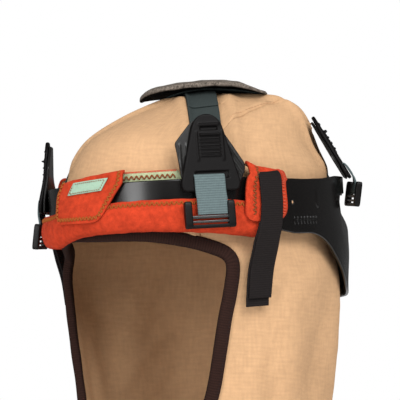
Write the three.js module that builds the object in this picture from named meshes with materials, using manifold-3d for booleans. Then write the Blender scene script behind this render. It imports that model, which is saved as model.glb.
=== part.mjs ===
// Cotton welding hood worn with a four-point webbing harness and a fleece sweatband.
// Millimetres, +Z up. The face looks along -Y and the wearer's left is +X.
// The origin is where the top of a head meets the inside of the crown.

import * as THREE from "three";
import { mergeVertices } from "three/addons/utils/BufferGeometryUtils.js";
import Module from "manifold-3d";

const wasm = await Module();
wasm.setup();

const DEG = Math.PI / 180;
const GAP = 0.4;

// Hood: level oval sections. drop is the depth below the crown's outer top, half the
// half-width, reach the half-length and mid how far the oval's middle lies behind the origin.
const CLOTH = 1.8;
const HOOD_COLUMNS = 40;
const HOOD_ROWS = 23;
const HOOD_SECTIONS = [
  { drop: 0, half: 0, reach: 0, mid: 19 },
  { drop: 2.5, half: 31, reach: 38, mid: 20 },
  { drop: 8, half: 44, reach: 56, mid: 19.5 },
  { drop: 18, half: 57, reach: 69, mid: 13 },
  { drop: 34, half: 70, reach: 89, mid: 1.5 },
  { drop: 54, half: 78.5, reach: 98, mid: -1 },
  { drop: 78, half: 79, reach: 102, mid: -1.6 },
  { drop: 100, half: 79, reach: 100.8, mid: 0 },
  { drop: 120, half: 84, reach: 104.5, mid: 1.5 },
  { drop: 139, half: 83.5, reach: 101.5, mid: 3.5 },
  { drop: 170, half: 80, reach: 97, mid: 5 },
  { drop: 205, half: 76, reach: 92, mid: 7 },
  { drop: 250, half: 74, reach: 88, mid: 8 },
  { drop: 290, half: 84, reach: 95, mid: 8 },
  { drop: 322, half: 99, reach: 106, mid: 8 },
];

// Soft folds in the hood: turn is the angle round from the face, wide and tall the half
// sizes, lean how many degrees the fold turns per millimetre down, deep its height.
const HOOD_FOLDS = [
  { turn: 84, drop: 165, wide: 9, tall: 42, lean: 0.02, deep: 3.2 },
  { turn: 104, drop: 175, wide: 10, tall: 50, lean: -0.16, deep: -3.4 },
  { turn: 128, drop: 178, wide: 11, tall: 48, lean: 0.05, deep: 2.6 },
  { turn: 130, drop: 84, wide: 12, tall: 9, lean: 0, deep: 4.2 },
  { turn: 156, drop: 205, wide: 10, tall: 60, lean: 0.04, deep: -3.2 },
  { turn: 184, drop: 215, wide: 12, tall: 60, lean: 0.02, deep: 3.4 },
  { turn: 210, drop: 195, wide: 10, tall: 55, lean: -0.06, deep: -3 },
  { turn: 230, drop: 84, wide: 12, tall: 9, lean: 0, deep: 4.2 },
  { turn: 238, drop: 180, wide: 11, tall: 48, lean: 0.06, deep: 2.8 },
  { turn: 262, drop: 172, wide: 10, tall: 46, lean: 0.1, deep: -3 },
  { turn: 282, drop: 168, wide: 9, tall: 42, lean: -0.02, deep: 2.8 },
  { turn: 20, drop: 300, wide: 14, tall: 26, lean: 0, deep: 3 },
  { turn: 340, drop: 300, wide: 14, tall: 26, lean: 0, deep: 3 },
  { turn: 100, drop: 305, wide: 14, tall: 28, lean: 0, deep: 3.5 },
  { turn: 260, drop: 305, wide: 14, tall: 28, lean: 0, deep: 3.5 },
];

// The side seams run back in plan from the brow to the nape and come together slightly.
const SEAM_HALF = 50;
const SEAM_TAPER = 0.12;
const SEAM_FRONT_END = -132;

// Face opening, as a half-width at each depth.
const FACE_OPENING = [
  { drop: 101, half: 0 },
  { drop: 101.3, half: 36 },
  { drop: 107.5, half: 61.5 },
  { drop: 118.5, half: 69.8 },
  { drop: 150, half: 64.4 },
  { drop: 197, half: 54.5 },
  { drop: 228, half: 43 },
  { drop: 248, half: 22 },
  { drop: 253, half: 0 },
];
const BINDING_WIDTH = 7.4;
const BINDING_WALL = 1.1;
const BINDING_CLEAR = 1.3;
const BINDING_STEPS = 54;

// Harness: an oval ring, tilted a little, whose top edge lies in the plane z = 0 of its own frame.
const RING_HALF = 86;
const RING_REACH = 109;
const RING_CENTRE = new THREE.Vector3(0, -2, -59.5);
const RING_PITCH = 2.6 * DEG;
const RING_ROLL = -2 * DEG;
const BAND_WALL = 1.8;
const BAND_END = 146;
const BAND_STEPS = 54;
const BAND_HOLE = { turn: 86, up: -16, radius: 1.5 };

// Lower edge of the headband: the band narrows to an arm behind the ear.
const BAND_EDGE = [
  { turn: 0, low: -28.5 },
  { turn: 60, low: -28.5 },
  { turn: 82, low: -31 },
  { turn: 86, low: -36.5 },
  { turn: 95, low: -36.5 },
  { turn: 103, low: -33 },
  { turn: 110, low: -17 },
  { turn: 116, low: -13 },
  { turn: 141, low: -12.5 },
  { turn: 146, low: -9 },
];

// The nape band leaves the headband behind the ear and drops to the nape.
const NAPE_EDGE = [
  { turn: 96, high: -8, low: -36.5, lift: 0 },
  { turn: 104, high: -12, low: -41, lift: 0 },
  { turn: 112, high: -18, low: -53, lift: 0.6 },
  { turn: 120, high: -24, low: -65, lift: 1.4 },
  { turn: 128, high: -30, low: -73, lift: 1.6 },
  { turn: 140, high: -41, low: -79, lift: 1.6 },
  { turn: 155, high: -47, low: -82, lift: 1.6 },
  { turn: 180, high: -51, low: -83, lift: 1.6 },
];
const NAPE_STEPS = 26;
const SLIDER_TURN = 14;
const SLIDER_WALL = 2.2;

// Clips: turn is the place on the ring, lean the inward tilt, slip how far the clip sits above
// its usual height, stand its distance from the ring and hand which side the hanger slopes to.
// The buckle hangs at fall below and flare out from the clip's base, turned inward by hang.
const FRONT_CLIP = { lean: 5, stand: 2.2, fall: 23.6, flare: 7.2, hang: 0 };
const REAR_CLIP = { lean: 28, stand: 2.3, fall: 21.5, flare: -0.5, hang: 38 };
const CLIPS = [
  { name: "front_left", turn: 50.5, slip: 0, hand: 1, ...FRONT_CLIP },
  { name: "front_right", turn: -50.5, slip: -4, hand: -1, ...FRONT_CLIP },
  { name: "rear_left", turn: 129.5, slip: 6, hand: -1, ...REAR_CLIP },
  { name: "rear_right", turn: -129.5, slip: 6, hand: 1, ...REAR_CLIP },
];
const HANGER_WALL = 1.6;
const HANGER_OUTLINE = [
  { x: -9.5, y: 34.5 },
  { x: -20.5, y: 22 },
  { x: -19.8, y: 16 },
  { x: -17, y: -8 },
  { x: 18, y: -8 },
  { x: 23.5, y: 3 },
  { x: 23.3, y: 8.5 },
  { x: 10, y: 30 },
  { x: 6, y: 35.5 },
  { x: -6, y: 36 },
];
const CLIP_WALL = 2.4;
const CLIP_TOP = 39;
const CLIP_TOP_HALF = 10;
const CLIP_FOOT = -9;
const CLIP_FOOT_HALF = 20;
const CLIP_SLOTS = [
  { y: 30, wide: 11, tall: 2.2 },
  { y: 1.2, wide: 21, tall: 4.4 },
];
const SNAP_HALF = 6.5;
const SNAP_RIBS = [
  { y: 26, tall: 2.6 },
  { y: 21.7, tall: 1.3 },
  { y: 17.3, tall: 1.3 },
  { y: 13, tall: 1.3 },
];
const WEBBING_HALF = 9.7;
const WEBBING_WALL = 1.2;
const BUCKLE_HALF = 15.4;
const BUCKLE_POST = 4.8;
const BUCKLE_TALL = 16.8;
const BUCKLE_WALL = 4.2;

// Crown straps and pad.
const STRAP_HALF = 10.2;
const STRAP_WALL = 1.2;
const STRAP_STEPS = 26;
const STRAP_LIFT = 2.2;
const STRAP_CENTRE = -64;
const STRAP_SEAT = 0.7;
const STRAP_FRONT_END = { out: -4, up: 1.5 };
const STRAP_REAR_END = { out: -8, up: 7 };
const PAD_HALF_LONG = 38;
const PAD_HALF_WIDE = 34;
const PAD_CORNER = 3.2;
const PAD_WALL = 4;
const PAD_BEND_LONG = 0.0052;
const PAD_BEND_WIDE = 0.0045;
const PAD_TURN = 43 * DEG;
const PAD_HEIGHT = 5;
const PAD_REST = 3.1;
const PAD_RINGS = 5;
const PAD_COLUMNS = 24;

// Sweatband: a strip path across the band. out is the distance from the ring, up the height
// and share how much of the lower edge's rise a point takes.
const FLEECE = 2.2;
const SWEATBAND_INNER = -3.4;
const SWEATBAND_FROM = -80;
const SWEATBAND_TO = 80;
const SWEATBAND_STEPS = 30;
const WRAP_PATH = [
  { out: SWEATBAND_INNER, up: -28, share: 1 },
  { out: -2.6, up: -32.6, share: 1 },
  { out: 0.8, up: -35.6, share: 1 },
  { out: 4.8, up: -34.2, share: 1 },
  { out: 6.7, up: -29, share: 0.9 },
  { out: 6.7, up: -22, share: 0.4 },
  { out: 4.2, up: -13.5, share: 0 },
];
const TAB_PATH = [
  { out: -3.4, up: -4 },
  { out: -3.3, up: 2 },
  { out: -2.3, up: 5.6 },
  { out: 0.3, up: 7 },
  { out: 3, up: 5.6 },
  { out: 5.2, up: 0 },
  { out: 7, up: -8 },
  { out: 9, up: -17 },
  { out: 9.5, up: -24 },
  { out: 9.5, up: -37 },
];

// Sweatband along the band: top is the height of its inner layer, which dips where the front
// straps pass, and rise lifts its lower edge.
const SWEATBAND_EDGE = [
  { turn: -80, top: 1, rise: 0 },
  { turn: -65, top: 1, rise: 0 },
  { turn: -60, top: -13, rise: 0 },
  { turn: -40, top: -13, rise: 0 },
  { turn: -36, top: 7, rise: 0 },
  { turn: -8, top: 7, rise: 0.5 },
  { turn: 18, top: 7, rise: 3 },
  { turn: 37, top: 7, rise: 3.8 },
  { turn: 42, top: -13, rise: 3.8 },
  { turn: 60, top: -13, rise: 3.4 },
  { turn: 65, top: 1, rise: 3 },
  { turn: 80, top: 1, rise: 1.5 },
];

// Tabs folded over the band: each edge is given at the top and at the foot of the tab.
const SWEATBAND_TABS = [
  { turns: [-9.5, -10.5, 24, 12], foot: -24, rises: [-4.5, 0.5] },
  { turns: [65.5, 69.5, 77, 75.5], foot: -33, rises: [-4.5, -4.5] },
  { turns: [-77, -75.5, -65.5, -69.5], foot: -33, rises: [-4.5, -4.5] },
];
const PATCH = { from: -3, to: 14, high: 1.5, low: -8.5, wall: 0.8 };

// Tape tails fold over the top of the band beside the ears and hang down.
const TAILS = [
  { name: "tape_tail_left", turn: 74.5, side: 1 },
  { name: "tape_tail_right", turn: -72, side: -1 },
];
const TAIL_HALF = 8.8;
const TAIL_WALL = 1.2;
const TAIL_DRIFT = 0.18;
const TAIL_PATH = [
  { out: -2.4, up: 4 },
  { out: 0.5, up: 4.5 },
  { out: 4, up: 3.6 },
  { out: 7.2, up: 0 },
  { out: 9.4, up: -10 },
  { out: 11.3, up: -19 },
  { out: 11.9, up: -34 },
  { out: 8.8, up: -47 },
  { out: 4, up: -62 },
  { out: 1.8, up: -80 },
];

const COLOURS = {
  cotton: { color: 0xeabf97, roughness: 0.95, metalness: 0 },
  binding: { color: 0x2a1e1e, roughness: 0.9, metalness: 0 },
  band: { color: 0x1a1514, roughness: 0.35, metalness: 0 },
  hanger: { color: 0x4a4744, roughness: 0.4, metalness: 0 },
  clip: { color: 0x211c1c, roughness: 0.6, metalness: 0 },
  webbing: { color: 0x6a7a7b, roughness: 0.85, metalness: 0 },
  strap: { color: 0x393f3d, roughness: 0.9, metalness: 0 },
  felt: { color: 0x463d35, roughness: 1, metalness: 0 },
  fleece: { color: 0xd3482a, roughness: 1, metalness: 0 },
  patch: { color: 0xafbe8c, roughness: 0.95, metalness: 0 },
  tape: { color: 0x312825, roughness: 0.9, metalness: 0 },
};

// Small helpers for solids.

// A solid with the shape of a geometry; faces that shrank to a line are dropped.
function solidOf(geometry) {
  const bare = geometry.clone();
  bare.deleteAttribute("normal");
  bare.deleteAttribute("uv");
  const merged = mergeVertices(bare, 1e-4);
  const corners = merged.index.array;
  const faces = [];
  for (let i = 0; i < corners.length; i += 3) {
    const [a, b, c] = corners.slice(i, i + 3);
    if (a !== b && b !== c && c !== a) faces.push(a, b, c);
  }
  const mesh = new wasm.Mesh({
    numProp: 3,
    vertProperties: merged.attributes.position.array,
    triVerts: new Uint32Array(faces),
  });
  return new wasm.Manifold(mesh);
}

// The geometry of a solid.
function geometryOf(solid) {
  const mesh = solid.getMesh();
  const geometry = new THREE.BufferGeometry();
  geometry.setAttribute("position", new THREE.BufferAttribute(mesh.vertProperties, 3));
  geometry.setIndex(new THREE.BufferAttribute(mesh.triVerts, 1));
  geometry.computeVertexNormals();
  return geometry;
}

// Turns the faces round if they enclose a negative volume.
function facedOutward(geometry) {
  const at = geometry.attributes.position;
  const index = geometry.index.array;
  const [a, b, c] = [0, 1, 2].map(() => new THREE.Vector3());
  let volume = 0;
  for (let i = 0; i < index.length; i += 3) {
    a.fromBufferAttribute(at, index[i]);
    b.fromBufferAttribute(at, index[i + 1]);
    c.fromBufferAttribute(at, index[i + 2]);
    volume += a.dot(b.cross(c));
  }
  if (volume < 0) index.reverse();
  return geometry;
}

// A closed solid through one outline per station. profileAt gives the flat outline at a
// station and placeAt puts one of its points in space; a loop joins the last to the first.
function sweep(stations, profileAt, placeAt, loop = false) {
  const clockwise = THREE.ShapeUtils.isClockWise(profileAt(stations[0]));
  const profiles = stations.map((s) => (clockwise ? [...profileAt(s)].reverse() : profileAt(s)));
  const rings = stations.map((s, i) => profiles[i].map((p) => placeAt(s, p)));
  const size = rings[0].length;
  const index = [];
  rings.forEach((_, i) => {
    if (i === rings.length - 1 && !loop) return;
    const here = i * size;
    const next = ((i + 1) % rings.length) * size;
    for (let j = 0; j < size; j++) {
      const k = (j + 1) % size;
      index.push(here + j, here + k, next + k, here + j, next + k, next + j);
    }
  });
  if (!loop) {
    const end = (rings.length - 1) * size;
    for (const [a, b, c] of THREE.ShapeUtils.triangulateShape(profiles[0], [])) index.push(c, b, a);
    for (const [a, b, c] of THREE.ShapeUtils.triangulateShape(profiles.at(-1), [])) {
      index.push(end + a, end + b, end + c);
    }
  }
  const geometry = new THREE.BufferGeometry().setFromPoints(rings.flat());
  geometry.setIndex(index);
  return facedOutward(geometry);
}

// The outline of a strip of even thickness along a path of flat points.
function stripOutline(path, thickness) {
  const side = (sign) =>
    path.map((p, i) => {
      const ahead = path[Math.min(i + 1, path.length - 1)];
      const behind = path[Math.max(i - 1, 0)];
      const along = ahead.clone().sub(behind).setLength((sign * thickness) / 2);
      return new THREE.Vector2(p.x - along.y, p.y + along.x);
    });
  return [...side(1), ...side(-1).reverse()];
}

const rectangle = (x0, x1, y0, y1) => [
  new THREE.Vector2(x0, y0),
  new THREE.Vector2(x1, y0),
  new THREE.Vector2(x1, y1),
  new THREE.Vector2(x0, y1),
];

const steps = (from, to, count) =>
  Array.from({ length: count + 1 }, (_, i) => from + ((to - from) * i) / count);

// Reads a column of a table at a place between its rows, in straight steps.
function between(table, key, column, at) {
  const after = table.findIndex((row) => row[key] >= at);
  if (after < 0) return table.at(-1)[column];
  if (after === 0) return table[0][column];
  const [a, b] = [table[after - 1], table[after]];
  return THREE.MathUtils.mapLinear(at, a[key], b[key], a[column], b[column]);
}

const material = (name) => new THREE.MeshStandardMaterial(COLOURS[name]);

function piece(name, geometry, colour) {
  const mesh = new THREE.Mesh(geometry, material(colour));
  mesh.name = name;
  return mesh;
}

// A flat plate with the given outline, its back face on z = 0.
function plate(outline, thickness) {
  return new THREE.ExtrudeGeometry(new THREE.Shape(outline), {
    depth: thickness,
    bevelEnabled: false,
    curveSegments: 8,
  });
}

const block = (w, h, d, x, y, z) => new THREE.BoxGeometry(w, h, d).translate(x, y, z);

// Hood surface: a spline through the sections, run is the length along the profile.
const HOOD_RUNS = HOOD_SECTIONS.reduce((runs, row, i) => {
  const last = HOOD_SECTIONS[i - 1] ?? row;
  runs.push((runs.at(-1) ?? 0) + Math.hypot(row.drop - last.drop, row.half - last.half));
  return runs;
}, []);
const HOOD_RUN_END = HOOD_RUNS.at(-1);
const hoodSpline = new THREE.CubicInterpolant(
  HOOD_RUNS,
  HOOD_SECTIONS.flatMap((row) => [row.drop, row.half, row.reach, row.mid]),
  4,
);

function hoodSection(run) {
  const [drop, half, reach, mid] = hoodSpline.evaluate(THREE.MathUtils.clamp(run, 0, HOOD_RUN_END));
  return { drop, half: Math.max(half, 0), reach: Math.max(reach, 0), mid };
}

function hoodFold(turn, drop) {
  return HOOD_FOLDS.reduce((sum, fold) => {
    const down = drop - fold.drop;
    const centre = fold.turn + fold.lean * down;
    const aside = ((turn / DEG - centre + 900) % 360) - 180;
    return sum + fold.deep * Math.exp(-((aside / fold.wide) ** 2) - (down / fold.tall) ** 2);
  }, 0);
}

// A point of the hood's outer face before any offset.
function hoodFace(turn, run) {
  const { drop, half, reach, mid } = hoodSection(run);
  const outward = new THREE.Vector2(reach * Math.sin(turn), -half * Math.cos(turn));
  outward.setLength(half > 0 ? hoodFold(turn, drop) : 0);
  return new THREE.Vector3(
    half * Math.sin(turn) + outward.x,
    mid - reach * Math.cos(turn) + outward.y,
    CLOTH - drop,
  );
}

function hoodNormal(turn, run) {
  if (run < 1) return new THREE.Vector3(0, 0, 1);
  const round = hoodFace(turn + 0.01, run).sub(hoodFace(turn - 0.01, run));
  const down = hoodFace(turn, run + 0.5).sub(hoodFace(turn, run - 0.5));
  return down.cross(round).normalize();
}

function hoodPoint(turn, run, out = 0) {
  return hoodFace(turn, run).addScaledVector(hoodNormal(turn, run), out);
}

// Finds the place where a rising function passes a value.
function solve(rising, value, low, high) {
  for (let i = 0; i < 40; i++) {
    const middle = (low + high) / 2;
    if (rising(middle) < value) low = middle;
    else high = middle;
  }
  return (low + high) / 2;
}

const hoodRunAt = (drop) => solve((run) => hoodSection(run).drop, drop, 0, HOOD_RUN_END);

// The hood as a shell: a lathe whose rows run down the outer face and up the inner one.
function hoodShell() {
  const down = steps(0, HOOD_RUN_END, HOOD_ROWS).map((run) => ({ run, out: 0 }));
  const up = down.map(({ run }) => ({ run, out: -CLOTH })).reverse();
  const rows = [...down, ...up];
  const lathe = new THREE.LatheGeometry(
    rows.map((_, i) => new THREE.Vector2(1, i)),
    HOOD_COLUMNS,
  );
  const at = lathe.attributes.position;
  for (let column = 0; column <= HOOD_COLUMNS; column++) {
    const turn = ((column % HOOD_COLUMNS) / HOOD_COLUMNS) * 2 * Math.PI;
    rows.forEach(({ run, out }, row) => {
      const point = hoodPoint(run > 0 ? turn : 0, run, out);
      at.setXYZ(column * rows.length + row, point.x, point.y, point.z);
    });
  }
  const shell = mergeVertices(lathe.deleteAttribute("normal").deleteAttribute("uv"), 1e-4);
  return solidOf(facedOutward(shell));
}

// The face opening as a closed flat curve in X and Z, moved outward by a margin.
const openingCurve = new THREE.SplineCurve([
  ...FACE_OPENING.map((row) => new THREE.Vector2(row.half, CLOTH - row.drop)),
  ...FACE_OPENING.slice(0, -1)
    .reverse()
    .map((row) => new THREE.Vector2(-row.half, CLOTH - row.drop)),
]);

function openingOutline(count, margin) {
  return steps(0, 1, count)
    .slice(0, -1)
    .map((s) => {
      const along = openingCurve.getTangentAt(s);
      return openingCurve.getPointAt(s).add(new THREE.Vector2(-along.y, along.x).multiplyScalar(margin));
    });
}

function openingCutter() {
  const outline = openingOutline(BINDING_STEPS, BINDING_WALL + GAP);
  const prism = plate(outline, 200).rotateX(Math.PI / 2);
  return solidOf(prism);
}

// The middle panel's share of the hood: all between the side seams, but behind the chin only
// the rear half. spread moves the seams apart.
function middleShare(spread) {
  const edge = (y) => SEAM_HALF - SEAM_TAPER * y + spread;
  const outline = (front) => [
    new THREE.Vector2(edge(front), front),
    new THREE.Vector2(edge(200), 200),
    new THREE.Vector2(-edge(200), 200),
    new THREE.Vector2(-edge(front), front),
  ];
  const above = plate(outline(-200), 200 - SEAM_FRONT_END).translate(0, 0, SEAM_FRONT_END);
  const behind = plate(outline(0), 500).translate(0, 0, -450);
  return solidOf(above).add(solidOf(behind));
}

function hoodPieces() {
  const cloth = hoodShell().subtract(openingCutter());
  const middle = cloth.intersect(middleShare(-GAP / 2));
  const sides = cloth.subtract(middleShare(GAP / 2));
  const leftHalf = solidOf(block(300, 500, 600, 150 + GAP / 2, 0, -200));
  const rightHalf = solidOf(block(300, 500, 600, -150 - GAP / 2, 0, -200));
  return [
    piece("hood_crown_panel", geometryOf(middle), "cotton"),
    piece("hood_side_left", geometryOf(sides.intersect(leftHalf)), "cotton"),
    piece("hood_side_right", geometryOf(sides.intersect(rightHalf)), "cotton"),
  ];
}

// Tape folded round the edge of the opening: a channel in the plane across the edge.
function faceBinding() {
  const outer = BINDING_CLEAR;
  const inner = -CLOTH - BINDING_CLEAR;
  const channel = [
    [0, inner - BINDING_WALL],
    [BINDING_WIDTH, inner - BINDING_WALL],
    [BINDING_WIDTH, inner],
    [BINDING_WALL, inner],
    [BINDING_WALL, outer],
    [BINDING_WIDTH, outer],
    [BINDING_WIDTH, outer + BINDING_WALL],
    [0, outer + BINDING_WALL],
  ].map(([away, out]) => new THREE.Vector2(away, out));
  const edge = openingOutline(BINDING_STEPS, 0).map(({ x, y }) => {
    const run = hoodRunAt(CLOTH - y);
    const turn = Math.asin(THREE.MathUtils.clamp(x / hoodSection(run).half, -1, 1));
    return { at: hoodPoint(turn, run), out: hoodNormal(turn, run) };
  });
  const frames = edge.map(({ at, out }, i) => {
    const ahead = edge[(i + 1) % edge.length].at;
    const behind = edge.at(i - 1).at;
    const away = out.clone().cross(ahead.clone().sub(behind)).normalize();
    return { at, out, away };
  });
  const place = ({ at, out, away }, p) =>
    at.clone().addScaledVector(away, p.x).addScaledVector(out, p.y);
  return piece("face_binding", sweep(frames, () => channel, place, true), "binding");
}

// Ring of the harness, in its own frame.
function ringFrame(turn) {
  const out = new THREE.Vector3(
    RING_REACH * Math.sin(turn),
    -RING_HALF * Math.cos(turn),
    0,
  ).normalize();
  const at = new THREE.Vector3(RING_HALF * Math.sin(turn), -RING_REACH * Math.cos(turn), 0);
  const along = new THREE.Vector3(-out.y, out.x, 0);
  return { at, out, along };
}

// A point at a distance out from the ring and a height above its top plane.
function ringPoint(turn, out, up) {
  const frame = ringFrame(turn);
  return frame.at.addScaledVector(frame.out, out).setZ(up);
}

function headband() {
  const low = (turn) => between(BAND_EDGE, "turn", "low", Math.abs(turn) / DEG);
  const strip = sweep(
    steps(-BAND_END * DEG, BAND_END * DEG, BAND_STEPS),
    (turn) => rectangle(0, BAND_WALL, low(turn), 0),
    (turn, p) => ringPoint(turn, p.x, p.y),
  );
  let solid = solidOf(strip).add(solidOf(napeBand()));
  for (const side of [-1, 1]) {
    const frame = ringFrame(side * BAND_HOLE.turn * DEG);
    const { radius } = BAND_HOLE;
    const hole = new THREE.CylinderGeometry(radius, radius, 12, 10).applyMatrix4(
      new THREE.Matrix4().makeBasis(frame.along, frame.out, new THREE.Vector3(0, 0, -1)),
    );
    const at = frame.at.setZ(BAND_HOLE.up);
    solid = solid.subtract(solidOf(hole.translate(at.x, at.y, at.z)));
  }
  return piece("headband", geometryOf(solid), "band");
}

const napeColumn = (turn, column) =>
  between(NAPE_EDGE, "turn", column, 180 - Math.abs(180 - turn / DEG));

function napeBand() {
  const first = NAPE_EDGE[0].turn;
  return sweep(
    steps(first * DEG, (360 - first) * DEG, NAPE_STEPS),
    (turn) => {
      const lift = napeColumn(turn, "lift");
      return rectangle(lift, lift + BAND_WALL, napeColumn(turn, "low"), napeColumn(turn, "high"));
    },
    (turn, p) => ringPoint(turn, p.x, p.y),
  );
}

// Plain sleeve round the band at the nape.
function napeSlider() {
  const sleeve = (wall, spare) =>
    solidOf(
      sweep(
        steps((180 - SLIDER_TURN - spare) * DEG, (180 + SLIDER_TURN + spare) * DEG, 6),
        (turn) => {
          const lift = napeColumn(turn, "lift");
          return rectangle(
            lift - Math.min(wall, 1.4),
            lift + BAND_WALL + wall,
            napeColumn(turn, "low") - wall,
            napeColumn(turn, "high") + wall,
          );
        },
        (turn, p) => ringPoint(turn, p.x, p.y),
      ),
    );
  const solid = sleeve(GAP + SLIDER_WALL, 0).subtract(sleeve(GAP + 0.2, 2));
  return piece("nape_slider", geometryOf(solid), "clip");
}

// Clip parts, in the clip's frame: x along the band, y up the clip, z outward.

function hanger({ slip, hand }) {
  const outline = HANGER_OUTLINE.map(({ x, y }) => new THREE.Vector2(hand * x, y + slip));
  return plate(hand > 0 ? outline : outline.reverse(), HANGER_WALL);
}

function clip({ slip, hand }) {
  const face = HANGER_WALL + GAP;
  const shape = new THREE.Shape();
  shape.moveTo(-CLIP_FOOT_HALF + 6, CLIP_FOOT);
  shape.quadraticCurveTo(-CLIP_FOOT_HALF, CLIP_FOOT, -CLIP_FOOT_HALF + 0.8, CLIP_FOOT + 7);
  shape.lineTo(-CLIP_TOP_HALF - 0.6, CLIP_TOP - 10);
  shape.quadraticCurveTo(-CLIP_TOP_HALF, CLIP_TOP, 0, CLIP_TOP);
  shape.quadraticCurveTo(CLIP_TOP_HALF, CLIP_TOP, CLIP_TOP_HALF + 0.6, CLIP_TOP - 10);
  shape.lineTo(CLIP_FOOT_HALF - 0.8, CLIP_FOOT + 7);
  shape.quadraticCurveTo(CLIP_FOOT_HALF, CLIP_FOOT, CLIP_FOOT_HALF - 6, CLIP_FOOT);
  shape.closePath();
  const body = new THREE.ExtrudeGeometry(shape, {
    depth: CLIP_WALL,
    bevelEnabled: false,
    curveSegments: 5,
  });
  let solid = solidOf(body);
  for (const { y, wide, tall } of CLIP_SLOTS) {
    solid = solid.subtract(solidOf(block(wide, tall, 4 * CLIP_WALL, hand, y, 0)));
  }
  const front = CLIP_WALL - 0.1;
  for (const { y, tall } of SNAP_RIBS) {
    for (const side of [-1, 1]) {
      const rib = block(SNAP_HALF - 0.5, 2.2, tall, hand + (side * SNAP_HALF) / 2, y, front + tall / 2);
      solid = solid.add(solidOf(rib));
    }
  }
  return geometryOf(solid).translate(0, slip, face);
}

// Webbing: out of the clip's slot, over its lower edge and down to the buckle's bar.
function clipWebbing(row) {
  const face = HANGER_WALL + GAP + CLIP_WALL;
  const path = [
    new THREE.Vector2(1.2 + row.slip, face - 1),
    new THREE.Vector2(0.9 + row.slip, face + 0.2),
    new THREE.Vector2(-1 + row.slip, face + 1.1),
    new THREE.Vector2(-8.6 + row.slip, face + 1.2),
    bucklePoint(row, 7.4),
    bucklePoint(row, 0),
  ];
  const outline = stripOutline(path, WEBBING_WALL);
  return sweep(
    [-WEBBING_HALF, WEBBING_HALF],
    () => outline,
    (x, p) => new THREE.Vector3(x + row.hand, p.x, p.y),
  );
}

// A point of the buckle's middle plane, above its centre, as height and distance out.
function bucklePoint({ slip, fall, flare, hang }, above) {
  const tilt = hang * DEG;
  return new THREE.Vector2(slip - fall + above * Math.cos(tilt), flare + above * Math.sin(tilt));
}

function buckle(row) {
  const wide = 2 * BUCKLE_HALF;
  const post = (side) =>
    solidOf(block(BUCKLE_POST, BUCKLE_TALL, BUCKLE_WALL, side * (BUCKLE_HALF - BUCKLE_POST / 2), 0, 0));
  const bar = (y) => solidOf(block(wide - 1, 2.3, BUCKLE_WALL - 1.2, 0, y, 0));
  const frame = post(-1)
    .add(post(1))
    .add(bar(-2.2))
    .add(bar(1.15 - BUCKLE_TALL / 2));
  const centre = bucklePoint(row, 0);
  return geometryOf(frame)
    .rotateX(row.hang * DEG)
    .translate(row.hand, centre.x, centre.y);
}

function clipGroup(row) {
  const frame = ringFrame(row.turn * DEG);
  const group = new THREE.Group();
  const up = new THREE.Vector3(0, 0, 1);
  group.setRotationFromMatrix(new THREE.Matrix4().makeBasis(frame.along, up, frame.out));
  group.rotateX(-row.lean * DEG);
  group.position.copy(frame.at.addScaledVector(frame.out, row.stand));
  group.add(
    piece(`hanger_${row.name}`, hanger(row), "hanger"),
    piece(`clip_${row.name}`, clip(row), "clip"),
    piece(`webbing_${row.name}`, clipWebbing(row), "webbing"),
    piece(`buckle_${row.name}`, buckle(row), "clip"),
  );
  return group;
}

// Sweatband pieces.

const flat = (path) => path.map((row) => new THREE.Vector2(row.out, row.up));

function sweatband() {
  const wrap = sweep(
    steps(SWEATBAND_FROM * DEG, SWEATBAND_TO * DEG, SWEATBAND_STEPS),
    (turn) => {
      const top = between(SWEATBAND_EDGE, "turn", "top", turn / DEG);
      const rise = between(SWEATBAND_EDGE, "turn", "rise", turn / DEG);
      const head = [top, (top - 24) / 2].map((up) => new THREE.Vector2(SWEATBAND_INNER, up));
      const fold = WRAP_PATH.map((row) => new THREE.Vector2(row.out, row.up + rise * row.share));
      return stripOutline([...head, ...fold], FLEECE);
    },
    (turn, p) => ringPoint(turn, p.x, p.y),
  );
  let solid = solidOf(wrap);
  for (const tab of SWEATBAND_TABS) solid = solid.add(solidOf(sweatbandTab(tab)));
  return piece("sweatband", geometryOf(solid), "fleece");
}

// One tab: its strip ends at the foot, and its edges close in from the top to the foot.
const tabFront = TAB_PATH.slice(4).reverse();

function sweatbandTab({ turns, foot, rises }) {
  const path = flat(TAB_PATH.filter((row) => row.up > foot));
  path.push(new THREE.Vector2(between(tabFront, "up", "out", foot), foot));
  const outline = stripOutline(path, FLEECE - 0.2);
  const [fromTop, fromFoot, toTop, toFoot] = turns;
  return sweep(
    steps(0, 1, 5),
    () => outline,
    (s, p) => {
      const down = p.x > 1 ? THREE.MathUtils.clamp(p.y / foot, 0, 1) : 0;
      const from = THREE.MathUtils.lerp(fromTop, fromFoot, down);
      const to = THREE.MathUtils.lerp(toTop, toFoot, down);
      const rise = THREE.MathUtils.lerp(...rises, s) * THREE.MathUtils.smoothstep(p.y, -8, 4);
      return ringPoint(THREE.MathUtils.lerp(from, to, s) * DEG, p.x, p.y + rise);
    },
  );
}

function sweatbandPatch() {
  const front = (up) => between(tabFront, "up", "out", up) + FLEECE / 2 + GAP;
  const rows = steps(PATCH.high, PATCH.low, 3);
  const outline = [
    ...rows.map((up) => new THREE.Vector2(front(up), up)),
    ...rows.reverse().map((up) => new THREE.Vector2(front(up) + PATCH.wall, up)),
  ];
  const strip = sweep(
    steps(PATCH.from * DEG, PATCH.to * DEG, 4),
    () => outline,
    (turn, p) => ringPoint(turn, p.x, p.y),
  );
  return piece("sweatband_patch", strip, "patch");
}

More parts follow.
